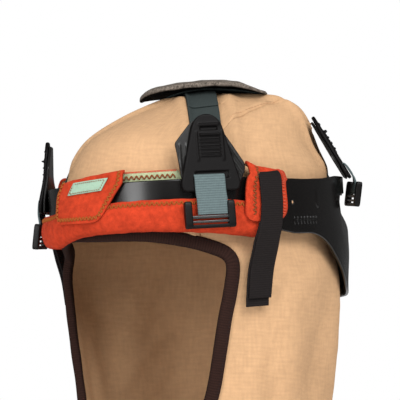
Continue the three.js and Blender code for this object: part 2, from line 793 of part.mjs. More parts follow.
function tapeTail({ name, turn, side }) {
  const path = new THREE.SplineCurve(flat(TAIL_PATH)).getPoints(14);
  const outline = stripOutline(path, TAIL_WALL);
  const frame = ringFrame(turn * DEG);
  const strip = sweep(
    [-TAIL_HALF, TAIL_HALF],
    () => outline,
    (across, p) => {
      const drift = side * TAIL_DRIFT * Math.min(p.y, 0);
      return frame.at
        .clone()
        .addScaledVector(frame.out, p.x)
        .addScaledVector(frame.along, across + drift)
        .setZ(p.y);
    },
  );
  return piece(name, strip, "tape");
}

// Crown straps lie on the hood in an upright plane through two opposite clips.

// Distance from a point inside the hood to its outer face along a direction.
function hoodReach(from, direction) {
  const outside = (distance) => {
    const point = from.clone().addScaledVector(direction, distance);
    if (point.z >= CLOTH) return 2;
    const { half, reach, mid } = hoodSection(hoodRunAt(CLOTH - point.z));
    return Math.hypot(point.x / half, (point.y - mid) / reach);
  };
  return solve(outside, 1, 5, 200);
}

// Direction straight out of the hood at a point of its face.
function hoodNormalAt(point) {
  const run = hoodRunAt(CLOTH - point.z);
  const { half, reach, mid } = hoodSection(run);
  return hoodNormal(Math.atan2(point.x / half, (mid - point.y) / reach), run);
}

function crownStrap(name, front, rear, lift) {
  const centre = new THREE.Vector3(0, RING_CENTRE.y, STRAP_CENTRE);
  const across = rear.clone().sub(front).setZ(0).normalize();
  const angleOf = (p) => Math.atan2(p.z - centre.z, Math.abs(p.clone().sub(centre).dot(across)));
  const [start, end] = [Math.PI - angleOf(front), angleOf(rear)];
  const stations = steps(start, end, STRAP_STEPS).map((angle) => {
    const direction = across.clone().multiplyScalar(Math.cos(angle));
    direction.z = Math.sin(angle);
    const foot = centre.clone().addScaledVector(direction, hoodReach(centre, direction));
    const clear = STRAP_WALL / 2 + STRAP_SEAT + lift * Math.sin(angle) ** 12;
    return { foot, at: foot.clone().addScaledVector(direction, clear) };
  });
  stations[0].at.copy(front);
  const frames = stations.map(({ foot, at }, i) => {
    const ahead = stations[Math.min(i + 1, stations.length - 1)].at;
    const behind = stations[Math.max(i - 1, 0)].at;
    const along = ahead.clone().sub(behind);
    const over = hoodNormalAt(foot).cross(along).normalize();
    return { at, over, out: along.cross(over).normalize() };
  });
  const strip = sweep(
    frames,
    () => rectangle(-STRAP_HALF, STRAP_HALF, -STRAP_WALL / 2, STRAP_WALL / 2),
    ({ at, over, out }, p) => at.clone().addScaledVector(over, p.x).addScaledVector(out, p.y),
  );
  return piece(name, strip, "strap");
}

// Height of the hood's outer face above a point of the plan.
function hoodTop(x, y) {
  const inside = (run) => {
    const { half, reach, mid } = hoodSection(run);
    return -Math.hypot(x / half, (y - mid) / reach);
  };
  return CLOTH - hoodSection(solve(inside, -1, 0.01, HOOD_RUNS[4])).drop;
}

// Pad: a rounded square that sags towards its edges and rests on the hood where that is higher.
function crownPad() {
  const tilt = new THREE.Euler(RING_PITCH, RING_ROLL, PAD_TURN);
  const ring = (share, up) =>
    steps(0, 2 * Math.PI, PAD_COLUMNS)
      .slice(0, -1)
      .map((turn) => {
        const corner = Math.abs(Math.cos(turn)) ** PAD_CORNER + Math.abs(Math.sin(turn)) ** PAD_CORNER;
        const u = PAD_HALF_LONG * share * corner ** (-1 / PAD_CORNER) * Math.cos(turn);
        const v = PAD_HALF_WIDE * share * corner ** (-1 / PAD_CORNER) * Math.sin(turn);
        const sag = PAD_BEND_LONG * u * u + PAD_BEND_WIDE * v * v;
        const point = new THREE.Vector3(u, v, PAD_HEIGHT - sag).applyEuler(tilt);
        const lift = STRAP_LIFT * (-STRAP_CENTRE / Math.hypot(STRAP_CENTRE, point.x, point.y)) ** 12;
        point.y += RING_CENTRE.y;
        point.z = Math.max(point.z, hoodTop(point.x, point.y) + PAD_REST + lift) + up;
        return point;
      });
  const shares = steps(0.02, 1, PAD_RINGS);
  const rings = [
    ...shares.map((share) => ring(share, 0)),
    ring(1.02, PAD_WALL / 2),
    ...shares.reverse().map((share) => ring(share, PAD_WALL)),
  ];
  const profile = rings[0].map((p) => new THREE.Vector2(p.x, p.y));
  const strip = sweep(
    rings,
    () => profile,
    (points, p) => points[profile.indexOf(p)],
  );
  return piece("crown_pad", strip, "felt");
}

// The whole head cover.

const harness = new THREE.Group();
harness.position.copy(RING_CENTRE);
harness.rotation.set(RING_PITCH, RING_ROLL, 0);
harness.add(
  headband(),
  napeSlider(),
  ...CLIPS.map(clipGroup),
  sweatband(),
  sweatbandPatch(),
  ...TAILS.map(tapeTail),
);
harness.updateMatrixWorld(true);

// A strap runs from inside the band at a front clip to under the opposite rear hanger.
const strapEnd = ({ turn }, { out, up }) => harness.localToWorld(ringPoint(turn * DEG, out, up));
const crossing = (name, front, rear, lift) =>
  crownStrap(name, strapEnd(front, STRAP_FRONT_END), strapEnd(rear, STRAP_REAR_END), lift);
const [frontLeft, frontRight, rearLeft, rearRight] = CLIPS;

const headCover = new THREE.Group();
headCover.add(
  ...hoodPieces(),
  faceBinding(),
  harness,
  crossing("crown_strap_under", frontLeft, rearRight, 0),
  crossing("crown_strap_over", frontRight, rearLeft, STRAP_LIFT),
  crownPad(),
);

export default headCover;
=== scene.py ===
"""Cotton welding hood with its four-point harness and fleece sweatband.

Shapes are worked out in millimetres, as in the part's source, and put into the meshes in metres.
The face looks along -Y, the wearer's left is +X and up is +Z. A turn is an angle in degrees round
from the face toward the wearer's left.
"""

import bmesh
import bpy
import numpy as np
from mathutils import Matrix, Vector


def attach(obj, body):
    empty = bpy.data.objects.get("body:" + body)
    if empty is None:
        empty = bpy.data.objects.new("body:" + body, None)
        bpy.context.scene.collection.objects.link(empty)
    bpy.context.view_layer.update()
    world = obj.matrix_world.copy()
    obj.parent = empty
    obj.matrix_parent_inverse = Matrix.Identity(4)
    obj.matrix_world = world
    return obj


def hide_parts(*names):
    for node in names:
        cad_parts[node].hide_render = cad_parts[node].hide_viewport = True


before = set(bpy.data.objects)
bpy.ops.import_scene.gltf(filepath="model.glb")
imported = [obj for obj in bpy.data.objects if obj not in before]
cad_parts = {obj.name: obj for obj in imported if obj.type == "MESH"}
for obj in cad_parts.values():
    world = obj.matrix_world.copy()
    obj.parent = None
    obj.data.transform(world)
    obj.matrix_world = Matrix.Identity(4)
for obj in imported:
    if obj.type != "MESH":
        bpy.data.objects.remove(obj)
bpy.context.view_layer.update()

MM = 0.001
UP = np.array([0, 0, 1.0])

# Hood: drop below the top, half-width, half-length and middle of each level oval.
CLOTH = 1.8
SECTIONS = np.array([
    (0, 0, 0, 19), (2.5, 31, 38, 20), (8, 44, 56, 19.5), (18, 57, 69, 13), (34, 70, 89, 1.5),
    (54, 78.5, 98, -1), (78, 79, 102, -1.6), (100, 79, 100.8, 0), (120, 84, 104.5, 1.5),
    (139, 83.5, 101.5, 3.5), (170, 80, 97, 5), (205, 76, 92, 7), (250, 74, 88, 8),
    (290, 84, 95, 8), (322, 99, 106, 8),
])
# Length down the profile to each oval, and the mean radius that the flat pattern is drawn with.
RUNS = np.concatenate([[0], np.cumsum(np.hypot(*np.diff(SECTIONS[:, :2], axis=0).T))])
HOOD_RADIUS = 88

# Long folds: turn, drop, half-width in degrees, half-height, lean in degrees per millimetre, height.
FOLDS = np.array([
    (84, 165, 9, 42, 0.02, 3.2), (104, 175, 10, 50, -0.16, -3.4), (128, 178, 11, 48, 0.05, 2.6),
    (130, 84, 12, 9, 0, 4.2), (156, 205, 10, 60, 0.04, -3.2), (184, 215, 12, 60, 0.02, 3.4),
    (210, 195, 10, 55, -0.06, -3), (230, 84, 12, 9, 0, 4.2), (238, 180, 11, 48, 0.06, 2.8),
    (262, 172, 10, 46, 0.1, -3), (282, 168, 9, 42, -0.02, 2.8), (20, 300, 14, 26, 0, 3),
    (340, 300, 14, 26, 0, 3), (100, 305, 14, 28, 0, 3.5), (260, 305, 14, 28, 0, 3.5),
])
# Dents, bulges and creases: turn, drop, half-width in degrees, half-height, height.
LONE_DENTS = np.array([
    (-52, 36, 34, 31, -6.0), (50, 30, 20, 20, -1.2), (-12, 8, 50, 8, -2.6), (92, 232, 7, 34, 1.4),
    (101, 236, 6, 36, -1.5),
])
PAIRED_DENTS = np.array([
    (104, 14, 26, 9, 4.0), (122, 36, 24, 14, -3.4), (127, 83, 11, 8, 3.8), (136, 124, 24, 26, -0.7),
    (67, 200, 4.5, 42, 1.2), (75, 205, 4.5, 46, -1.1),
])
DENTS = np.concatenate([LONE_DENTS, PAIRED_DENTS, PAIRED_DENTS * [-1, 1, 1, 1, 1]])

# The side seams run back in plan and close in; each has a row of stitches beside it.
SEAM_HALF = 50
SEAM_TAPER = 0.12
SEAM_FRONT_END = -132
SEAM_ROW = 3.4
HEM_DROP = 318

# Face opening: drop and half-width. The cloth stops a little outside it, under the binding.
OPENING = np.array([
    (101, 0), (101.3, 36), (107.5, 61.5), (118.5, 69.8), (150, 64.4), (197, 54.5), (228, 43),
    (248, 22), (253, 0),
])
OPENING_CLEAR = 2.6
BROW_HALF = 58
# Binding: distance from the opening's edge and distance out of the cloth, from inside to outside.
BINDING_PATH = [
    (7.6, -2.5), (5.5, -2.9), (2.4, -3.1), (0.5, -2.5), (0, -0.9), (0.5, 0.9), (2.4, 1.7),
    (5.2, 1.6), (7.6, 0.9),
]
BINDING_STATIONS = 301

# Ring of the harness: an oval with a small tilt.
RING_HALF = 86
RING_REACH = 109
RING_CENTRE = np.array([0, -2, -59.5])
RING_PITCH = np.radians(2.6)
RING_ROLL = np.radians(-2)

# Headband: length of a degree, turn of an arm's end, and heights of its edges at a turn to either side.
BAND_WALL = 1.8
BAND_DEGREE = 1.7
BAND_END = 146
BAND_TOP = np.array([(0, 0), (62, 0), (76, -1.6), (90, -2.6), (102, -2.2), (114, -0.4), (146, 0)])
BAND_EDGE = np.array([
    (0, -28.5), (60, -28.5), (70, -30), (77, -34.5), (84, -37), (98, -37.5), (104, -33),
    (116, -17.5), (121, -13.5), (141, -12.5), (146, -9),
])
# Nape band: turn, upper edge, lower edge and distance out.
NAPE_EDGE = np.array([
    (93, -8, -37.3, 0), (97, -8, -38.5, 0), (104, -12, -44, 0), (112, -18, -56.5, 0.6),
    (120, -24, -68.5, 1.4), (128, -30, -76, 1.6), (140, -41, -80.5, 1.6), (155, -47, -82.5, 1.6),
    (180, -51, -83, 1.6),
])
# The notch behind the ear, where arm and nape band part.
NOTCH_TURN = 118.5
NOTCH_UP = -17.5
EYELET_TURN = 83.5
EYELET_UP = -17.2
RIB_COUNT = 8
SLIDER_HALF_TURN = 14
SLIDER_WALL = 1.2

# Clips: turn is the place on the ring, lean the inward tilt, slip the height above the usual one,
# stand the distance from the ring, hand the side that the hanger slopes to and twist a turn of the
# upper end. The buckle hangs at fall below and flare out, turned inward by hang and round by swing.
FRONT_CLIP = dict(lean=5, stand=2.2, fall=23.6, flare=7.2, hang=0)
LOOSE_CLIP = dict(stand=1.9, flare=5.0, hang=-4)
REAR_CLIP = dict(lean=28, stand=2.3, fall=19.5, flare=-0.5, hang=38)
CLIPS = [
    dict(name="front_left", turn=50.5, slip=0, hand=1, twist=0, swing=0, **FRONT_CLIP),
    dict(name="front_right", turn=-50.5, slip=-6.5, hand=-1, twist=7, swing=0, **(FRONT_CLIP | LOOSE_CLIP)),
    dict(name="rear_left", turn=129.5, slip=6, hand=-1, twist=0, swing=15, **REAR_CLIP),
    dict(name="rear_right", turn=-129.5, slip=6, hand=1, twist=0, swing=-15, **REAR_CLIP),
]
# Hanger: height, left edge and right edge. Clip: height and half-width.
HANGER_WALL = 1.6
HANGER_EDGES = np.array([
    (-8, -16, 17), (-7, -17, 18.2), (3, -18.4, 23.2), (5, -18.6, 23.6), (8.5, -19, 23.2),
    (16, -19.8, 18.7), (21, -20.6, 15.6), (22.5, -20.1, 14.6), (30, -13.6, 10), (34, -10, 7.2),
    (35.4, -7.8, 5.6), (36, -5.5, 4),
])
CLIP_BASE = 2.0
CLIP_WALL = 2.4
CLIP_EDGES = np.array([
    (-9, 13), (-8.7, 16), (-7.5, 18.2), (-5, 19), (-2, 18.9), (29, 10.6), (32, 9.7), (34.6, 8.4),
    (36.6, 6.6), (38, 4.5), (38.7, 2.6), (39, 0.8),
])
SLOT_DEEP = 1.7
# Ribs of the ladder: height on the clip and height of the rib.
SNAP_RIBS = [(26, 2.2), (23.8, 0.7), (21.7, 1.2), (19.5, 0.7), (17.3, 1.2), (15.1, 0.7), (13, 1.2)]
WEBBING_HALF = 9.7
WEBBING_WALL = 1.2
WEBBING_ASIDE = 1.4
BUCKLE_ASIDE = 3.6
# Parts of a buckle: width, height, depth, then place across and up.
BUCKLE_FRAME = [(4.8, 16.8, 4.2, -13.7, 0), (4.8, 16.8, 4.2, 13.7, 0), (29, 2.2, 3, 0, -7.2)]
BUCKLE_BARS = [(26, 1.9, 3, 0, -1.5), (26, 1.5, 3, 0, -4.4)]

# Sweatband: out, up, then the shares that follow its top, its lower edge and the edge of its flap.
FLEECE = 2.2
WRAP_DEGREE = 1.8
WRAP_PATH = np.array([
    (-3.4, 0, 1, 0, 0), (-3.4, -12, 0.5, 0, 0), (-3.4, -28, 0, 1, 0), (-2.6, -32.6, 0, 1, 0),
    (0.8, -35.6, 0, 1, 0), (4.8, -34.2, 0, 1, 0), (6.7, -29, 0, 0.8, 0.1), (6.7, -22, 0, 0.3, 0.5),
    (4.6, -13.5, 0, 0, 1),
])
# Turn, then the heights of those three edges.
WRAP_EDGE = np.array([
    (-80, -6, -2, -3), (-65, -6, -2, -4), (-60, -13, -2, -4.5), (-36, -9, -1.2, -5),
    (-20, -8, -1.8, -4), (-10, -7, 2, -2.2), (-3, 0, 4, -0.6), (3, 5, 4.9, 0.3), (8, 5.6, 5.2, 0.4),
    (15, 5.6, 5.5, 0.7), (26, 5.6, 5.5, 1.2), (40, 5.6, 4, 0.9), (44, -13, 3.5, 0.6),
    (52, -13, 2.3, 0.2), (60, -13, 0.2, -1.6), (65, -6, -1.2, -2.8), (71, -6, -1.2, -2), (80, -6, 0, 0),
])
# Where the front right buckle presses the fleece in: turn, half-width in degrees and depth.
PRESS = (-51, 11, 3.4)

# Tabs: out and up along the strip, from behind the band over its top and down its front.
TAB_PATH = np.array([
    (-3.4, -4), (-3.3, 2), (-2.3, 5.6), (0.3, 7), (3, 5.6), (5.2, 0), (7, -8), (9, -17),
    (9.5, -24), (9.5, -37),
])
# The front of that strip from its foot up, as height and distance out.
TAB_FRONT = TAB_PATH[:3:-1, ::-1]
TAB_DEGREE = 1.75
# turns are the edges at the top and the foot of one side and of the other, rises the lift at shares
# across, corner the rounding at the foot, leaf the power that shapes the edges, long the strip's
# length in metres and kept the share of the cut rectangle that is left.
SIDE_TAB = dict(foot=-28.8, corner=8, leaf=0.45, columns=25, long=0.054, kept=0.92)
TABS = {
    "middle": dict(
        turns=(-13, -10.8, 18.9, 9.7), rises=((0, -5.4), (1, -0.4)), foot=-24, corner=5, leaf=1,
        columns=61, long=0.046, kept=0.85,
    ),
    "left": dict(turns=(65, 60.6, 79.5, 76.5), rises=((0, 1.4), (0.24, -1.6), (1, -5)), **SIDE_TAB),
    "right": dict(turns=(-79.5, -76.5, -65, -60.6), rises=((0, -5), (0.76, -1.6), (1, 1.4)), **SIDE_TAB),
}

# Tape tails: out and up, then at each height the drift toward the face; turn and side of each tail.
TAIL_HALF = 8.8
TAIL_PATH = np.array([
    (-2.4, 2.4), (0.5, 2.9), (4, 2), (7.2, -1.6), (9.4, -10), (11.3, -19), (11.9, -32), (8.8, -44),
    (4, -59), (1.8, -76),
])
TAIL_DRIFT = np.array([(-84, 15), (-54, 13.2), (-38, 12), (-20, 8.6), (4, 4.4)])
TAILS = {"left": (74.5, 1), "right": (-76, -1)}

# Crown straps: turns of the front and rear end and the lift at the crossing; ends as out and up.
STRAPS = {"under": (53, -129.5, 0.0), "over": (-50.5, 129.5, 1.9)}
STRAP_HALF = 10.2
STRAP_FRONT_END = (-4, 1.5)
STRAP_REAR_END = (-8, 7)
STRAP_CENTRE = np.array([0, -2, -64.0])

# Crown pad: half sizes, how far its middle lies forward, and its sag along its length.
PAD_HALF_LONG = 41.5
PAD_HALF_WIDE = 34
PAD_AHEAD = 3.2
PAD_CORNER = 3.2
PAD_WALL = 3.1
PAD_HEIGHT = 5.5
PAD_TURN = np.radians(43)
PAD_SAG = np.array([
    (-42, -11), (-39, -8.2), (-36, -5.8), (-32, -4), (-27, -2.7), (-20, -1.6), (-10, -0.6), (2, -0.1),
    (10, 0), (18, -0.6), (26, -2), (34, -4.6), (45, -8.4),
])

# Studio, in metres: name, place, size and power of each light.
LIGHTS = [
    ("key", (1.4, -0.72, 0.92), (1.0, 0.9), 30.0),
    ("front", (0.38, -1.55, 0.1), (0.46, 1.2), 15.0),
]
LIGHTS_AIM = Vector((0, 0, -0.1))
FLOOR_LEVEL = -321.5
FLOOR_RADIUS = 1300
# Strength of the surround for soft light, in mirrored light and as seen by the camera.
SURROUND = (0.61, 0.13, 1.0)
CAMERA_TURN = np.radians(40)
CAMERA_PITCH = np.radians(2.29)
CAMERA_AWAY = 1.25
CAMERA_LEVEL = -0.1202
LENS = 168.75


# Small sums.

def lerp(a, b, share):
    """The value a share of the way from a to b."""
    return a + (b - a) * share


def ease(low, high, x):
    """0 below low, 1 above high, and the cubic 3s^2 - 2s^3 between them."""
    s = np.clip((x - low) / (high - low), 0, 1)
    return s * s * (3 - 2 * s)


def hill(x, wide):
    """A bell exp(-(x / wide)^2)."""
    return np.exp(-((x / wide) ** 2))


def inside(x, half, soft):
    """1 within half of zero and 0 outside, with a soft step between them."""
    return 1 - ease(half - soft, half + soft, np.abs(x))


def squared(v):
    """A cosine or sine to the power 0.3 with its sign kept, which makes a circle a rounded square."""
    return np.sign(v) * np.abs(v) ** 0.3


def unit(v):
    """Vectors of length one along the last axis."""
    return v / np.maximum(np.linalg.norm(v, axis=-1, keepdims=True), 1e-9)


def turned(turn, start):
    """Degrees from one turn to another, from -180 to 180."""
    return (turn - start + 540) % 360 - 180


def swung(x, z, angle):
    """Two coordinates turned by an angle: x cos + z sin and z cos - x sin."""
    return x * np.cos(angle) + z * np.sin(angle), z * np.cos(angle) - x * np.sin(angle)


def column(table, at, k=1):
    """A column of a table, read between its rows at places of the first column."""
    return np.interp(at, table[:, 0], table[:, k])


def halve(low, high, holds):
    """The place between low and high up to which a condition holds, by halving forty times."""
    for _ in range(40):
        middle = (low + high) / 2
        held = holds(middle)
        low = np.where(held, middle, low)
        high = np.where(held, high, middle)
    return low


def spline(points, share):
    """Value and slope of the Catmull-Rom curve through points, share 0 to 1 from first to last."""
    p = np.asarray(points, float)
    p = np.concatenate([2 * p[:1] - p[1:2], p, 2 * p[-1:] - p[-2:-1]])
    s = np.clip(share, 0, 1) * (len(p) - 3 - 1e-6)
    i = s.astype(int)
    f = (s - i)[..., None]
    a, b, c, d = p[i], p[i + 1], p[i + 2], p[i + 3]
    two = 2 * a - 5 * b + 4 * c - d
    three = 3 * (b - c) + d - a
    value = b + 0.5 * f * (c - a + f * (two + f * three))
    slope = 0.5 * (c - a) + f * (two + 1.5 * f * three)
    return value, slope


def lengths(path):
    """Distance along a path of points, from its first point."""
    return np.concatenate([[0], np.cumsum(np.linalg.norm(np.diff(path, axis=0), axis=1))])


def read_along(path, values, where):
    """Values given at the points of a path, read at distances along it."""
    run = lengths(path)
    return np.stack([np.interp(where, run, each) for each in values.T], -1)


def even(path, count):
    """A path's points again, at count places with equal distances between them."""
    return read_along(path, path, np.linspace(0, lengths(path)[-1], count))


def curve(points, count, steps):
    """Points at equal distances on the smooth curve through a few points, measured in fine steps."""
    dense, _ = spline(points, np.linspace(0, 1, steps))
    return even(dense, count)


def lumps(p, size):
    """Soft unevenness from -1 to 1: three products of sines of the position over size."""
    x, y, z = np.moveaxis(p / size, -1, 0)
    first = np.sin(1.9 * x + 1.3 * y + 0.4) * np.sin(1.7 * z - 0.6 * x)
    second = np.sin(2.9 * y - 2.1 * z + 1.7) * np.sin(1.1 * x + 0.8 * z + 0.9)
    third = np.sin(4.3 * z + 3.1 * x - 0.8) * np.sin(3.7 * y + 1.2)
    return 0.5 * first + 0.3 * second + 0.2 * third


# Meshes.

def pattern(across, along):
    """Flat coordinates of a grid of cloth: the distance across it and along it at each point."""
    return np.stack(np.broadcast_arrays(across, along), -1)


def quads_of(rows, columns):
    """Corner numbers of the faces of a grid, row by row."""
    at = np.arange(rows * columns).reshape(rows, columns)
    return np.stack([at[:-1, :-1], at[1:, :-1], at[1:, 1:], at[:-1, 1:]], -1).reshape(-1, 4)


def joined(points, faces):
    """Points that meet become one; faces that shrink to a side are dropped or become triangles."""
    key = np.round(points * 500).astype(np.int64)
    _, first, back = np.unique(key, axis=0, return_index=True, return_inverse=True)
    met = back.reshape(-1)[faces]
    same = met == np.roll(met, -1, axis=1)
    count = same.sum(1)
    whole = count == 0
    thin = count == 1
    keep = (np.arange(1, 4) + same[thin].argmax(1)[:, None]) % 4
    corners = [(met[whole], faces[whole])]
    corners.append((np.take_along_axis(met[thin], keep, 1), np.take_along_axis(faces[thin], keep, 1)))
    return points[first], corners


def shape(name, points, faces, finishes, flats=None, closed=True):
    """An object from points and faces. A closed one is turned outward; flats are pattern coordinates."""
    shown, corners = joined(points, faces)
    mesh = bpy.data.meshes.new(name)
    mesh.from_pydata((shown * MM).tolist(), [], [row for met, _ in corners for row in met.tolist()])
    if flats is not None:
        layer = mesh.uv_layers.new(name="flat")
        were = np.concatenate([faces_were.reshape(-1) for _, faces_were in corners])
        layer.data.foreach_set("uv", flats[were].astype(np.float32).reshape(-1))
    if closed:
        work = bmesh.new()
        work.from_mesh(mesh)
        bmesh.ops.recalc_face_normals(work, faces=work.faces)
        work.to_mesh(mesh)
        work.free()
    mesh.polygons.foreach_set("use_smooth", np.ones(len(mesh.polygons), bool))
    mesh.validate()
    for finish in finishes:
        mesh.materials.append(finish)
    made = bpy.data.objects.new(name, mesh)
    bpy.context.scene.collection.objects.link(made)
    return made


def on_part(made, stands_for=()):
    """The object as a piece of the part: its body and the solids it stands for."""
    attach(made, "root")
    for node in stands_for:
        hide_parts(node)
    return made


def piece(name, grids, finishes, slot, stands_for=(), away=None, wall=0, seat=0):
    """A piece from grids of points, each with its flat pattern coordinates or None.

    An open sheet is turned to face away from the given points and gets its wall by Solidify,
    seat -1 inward to 1 outward; without such points the shape is closed.
    """
    points = []
    flats = []
    faces = []
    start = 0
    for grid, flat in grids:
        rows, columns = grid.shape[:2]
        points.append(grid.reshape(-1, 3))
        flats.append(np.zeros((rows * columns, 2)) if flat is None else flat.reshape(-1, 2))
        faces.append(quads_of(rows, columns) + start)
        start += rows * columns
    points = np.concatenate(points)
    faces = np.concatenate(faces)
    if away is not None:
        a, b, c, d = (points[faces[:, k]] for k in range(4))
        cores = np.concatenate([np.broadcast_to(away, grid.shape).reshape(-1, 3) for grid, _ in grids])
        if np.sum(np.cross(c - a, d - b) * (a - cores[faces[:, 0]])) < 0:
            faces = faces[:, ::-1]
    made = shape(name, points, faces, finishes, np.concatenate(flats), away is None)
    if wall:
        solid = made.modifiers.new("wall", "SOLIDIFY")
        solid.thickness = wall * MM
        solid.offset = seat
        solid.use_even_offset = True
        solid.material_offset = len(finishes) - 1
    return on_part(made, stands_for)


def small_shapes(name, grids, finish):
    """Many small closed shapes of one kind as one piece, from a grid of points for each."""
    count, rows, columns = grids.shape[:3]
    faces = quads_of(rows, columns) + rows * columns * np.arange(count)[:, None, None]
    return on_part(shape(name, grids.reshape(-1, 3), faces.reshape(-1, 4), [finish]))


def edges_rounded(made, width):
    """A bevel on the sharp edges of a wall, so that they catch the light."""
    bevel = made.modifiers.new("edges", "BEVEL")
    bevel.width = width * MM
    bevel.segments = 2
    bevel.limit_method = "ANGLE"
    bevel.angle_limit = 0.9


def threads(name, starts, ends, outs, radius, finish, slot):
    """Stitches: one bowed thread from each start to each end, thin at both ends, standing outward."""
    s = np.linspace(-1, 1, 7)
    turn = np.linspace(0, 2 * np.pi, 7)
    along = (ends - starts) / 2
    middle = (starts + ends) / 2
    side = unit(np.cross(unit(along), outs))
    up = unit(np.cross(side, along))
    thick = radius * np.sqrt(np.maximum(1 - s**4, 0))
    bow = radius * 0.9 * (1 - s**2)
    spine = middle[:, None] + along[:, None] * s[:, None] + up[:, None] * bow[:, None]
    round_it = side[:, None, None] * np.cos(turn)[:, None] + up[:, None, None] * np.sin(turn)[:, None]
    return small_shapes(name, spine[:, :, None] + round_it * thick[None, :, None, None], finish)


def running(path, outs, pitch, fill=0.62):
    """Starts, ends and outward directions of a row of straight stitches along a path."""
    first = np.arange(pitch / 2, lengths(path)[-1] - pitch, pitch)
    last = first + fill * pitch
    return read_along(path, path, first), read_along(path, path, last), read_along(path, outs, first)


def zigzag(path, outs, pitch, width):
    """Starts, ends and outward directions of a zigzag: corners step from side to side of a path."""
    where = np.arange(0, lengths(path)[-1], pitch)
    at = read_along(path, path, where)
    out = unit(read_along(path, outs, where))
    side = unit(np.cross(np.gradient(at, axis=0), out))
    corner = at + side * (width / 2 * (-1) ** np.arange(len(where)))[:, None]
    return corner[:-1], corner[1:], out[:-1]


# Finishes.

class Tone:
    """A value in a finish: one output of a node, on which sums add further nodes."""

    def __init__(self, finish, socket):
        self.finish = finish
        self.socket = socket

    def sum(self, kind, first, second):
        return self.finish.add("ShaderNodeMath", {"operation": kind}, {0: first, 1: second})

    def __add__(self, other):
        return self.sum("ADD", self, other)

    def __radd__(self, other):
        return self.sum("ADD", other, self)

    def __sub__(self, other):
        return self.sum("SUBTRACT", self, other)

    def __rsub__(self, other):
        return self.sum("SUBTRACT", other, self)

    def __mul__(self, other):
        return self.sum("MULTIPLY", self, other)

    def __rmul__(self, other):
        return self.sum("MULTIPLY", other, self)

    def wave(self, length):
        """A sine from 0 to 1 with one period in each length."""
        return self.sum("SINE", self * (2 * np.pi / length), 0.0) * 0.5 + 0.5


class Finish:
    """A procedural material on a Principled shader. Lengths on the piece are in millimetres."""

    def __init__(self, name, colour, roughness, **constants):
        self.material = bpy.data.materials.new(name)
        self.material.use_nodes = True
        self.tree = self.material.node_tree
        self.shader = self.tree.nodes["Principled BSDF"]
        self.colour = colour
        self.set("Base Color", (*colour, 1))
        self.set("Roughness", roughness)
        for key, value in constants.items():
            self.set(key.replace("_", " ").title().replace("Ior", "IOR"), value)

    def feed(self, socket, value):
        if isinstance(value, Tone):
            self.tree.links.new(value.socket, socket)
        else:
            socket.default_value = value

    def set(self, key, value):
        self.feed(self.shader.inputs[key], value)

    def add(self, kind, settings=None, inputs=None, output=0):
        """Any node: its type, its settings, what its sockets get, and the output that is used."""
        node = self.tree.nodes.new(kind)
        for key, value in (settings or {}).items():
            setattr(node, key, value)
        for key, value in (inputs or {}).items():
            self.feed(node.inputs[key], value)
        return Tone(self, node.outputs[output])

    def place(self, source):
        """Position on the piece in millimetres: in space by Object, or on its flat pattern by UV."""
        where = self.add("ShaderNodeTexCoord", output=source)
        scale = 1000.0 if source == "Object" else 1.0
        return self.add("ShaderNodeVectorMath", {"operation": "SCALE"}, {0: where, "Scale": scale})

    def flat(self):
        """The two flat coordinates, across and along."""
        where = self.place("UV")
        return [self.add("ShaderNodeSeparateXYZ", None, {0: where}, k) for k in (0, 1)]

    def noise(self, size, detail=2.0, source="Object", stretch=(1, 1, 1)):
        """Noise from 0 to 1 with grains of a size in millimetres."""
        grains = [s / size for s in stretch]
        scaled = self.add(
            "ShaderNodeVectorMath", {"operation": "MULTIPLY"}, {0: self.place(source), 1: grains}
        )
        return self.add("ShaderNodeTexNoise", None, {"Vector": scaled, "Scale": 1.0, "Detail": detail})

    def blend(self, share, first, second):
        """A colour between two, by a share."""
        inputs = {0: share, 6: (*first, 1), 7: (*second, 1)}
        return self.add("ShaderNodeMix", {"data_type": "RGBA"}, inputs, 2)

    def tint(self, share, low, high):
        """Base colour between a darker and a lighter tone of the finish's own colour."""
        dark, light = (tuple(c * k for c in self.colour) for k in (low, high))
        self.set("Base Color", self.blend(share, dark, light))

    def bump(self, height, depth, strength):
        """Relief of a depth in millimetres, from a height of 0 to 1."""
        inputs = {"Strength": strength, "Distance": depth * MM, "Height": height}
        self.set("Normal", self.add("ShaderNodeBump", None, inputs))


def cotton_finish(name, colour):
    """Plain-woven cotton: two crossed thread waves, thick and thin places along both."""
    f = Finish(name, colour, 0.95, specular_ior_level=0.2)
    across, along = f.flat()
    warp_slub = f.noise(2.2, source="UV", stretch=(1, 0.22, 1))
    weft_slub = f.noise(2.2, source="UV", stretch=(0.22, 1, 1))
    weave = across.wave(0.85) * along.wave(0.85) * 0.6 + (warp_slub * 0.5 + weft_slub * 0.5) * 0.8
    f.tint(weave * 0.66 + f.noise(55) * 0.4 - 0.16, 0.56, 1.34)
    f.bump(weave, 0.4, 0.8)
    return f.material


def ribbed_finish(name, colour, pitch, tall, roughness):
    """Woven tape: ribs across it and fine warp lines along it, with uneven yarn tones."""
    f = Finish(name, colour, roughness, specular_ior_level=0.12)
    across, along = f.flat()
    yarn = f.noise(1.3, source="UV", stretch=(0.4, 1, 1))
    rib = along.wave(pitch) * 0.75 + across.wave(1.05) * 0.25
    f.tint(rib * 0.55 + yarn * 0.45, 0.55, 1.4)
    f.bump(rib, tall, 0.7)
    return f.material


def fleece_finish(name, colour, low, high):
    """Brushed fleece: fine matted fibre, soft clumps and worn tones."""
    f = Finish(name, colour, 1.0, sheen_weight=0.12, sheen_tint=(*colour, 1), specular_ior_level=0.1)
    fibre = f.noise(0.55, 3.0)
    clump = f.noise(3.2, 3.0)
    cloud = f.noise(16)
    f.tint(fibre * 0.3 + clump * 0.9 + cloud * 0.45 - 0.35, low, high)
    f.bump(clump * 0.7 + fibre * 0.5, 1.2, 0.9)
    return f.material


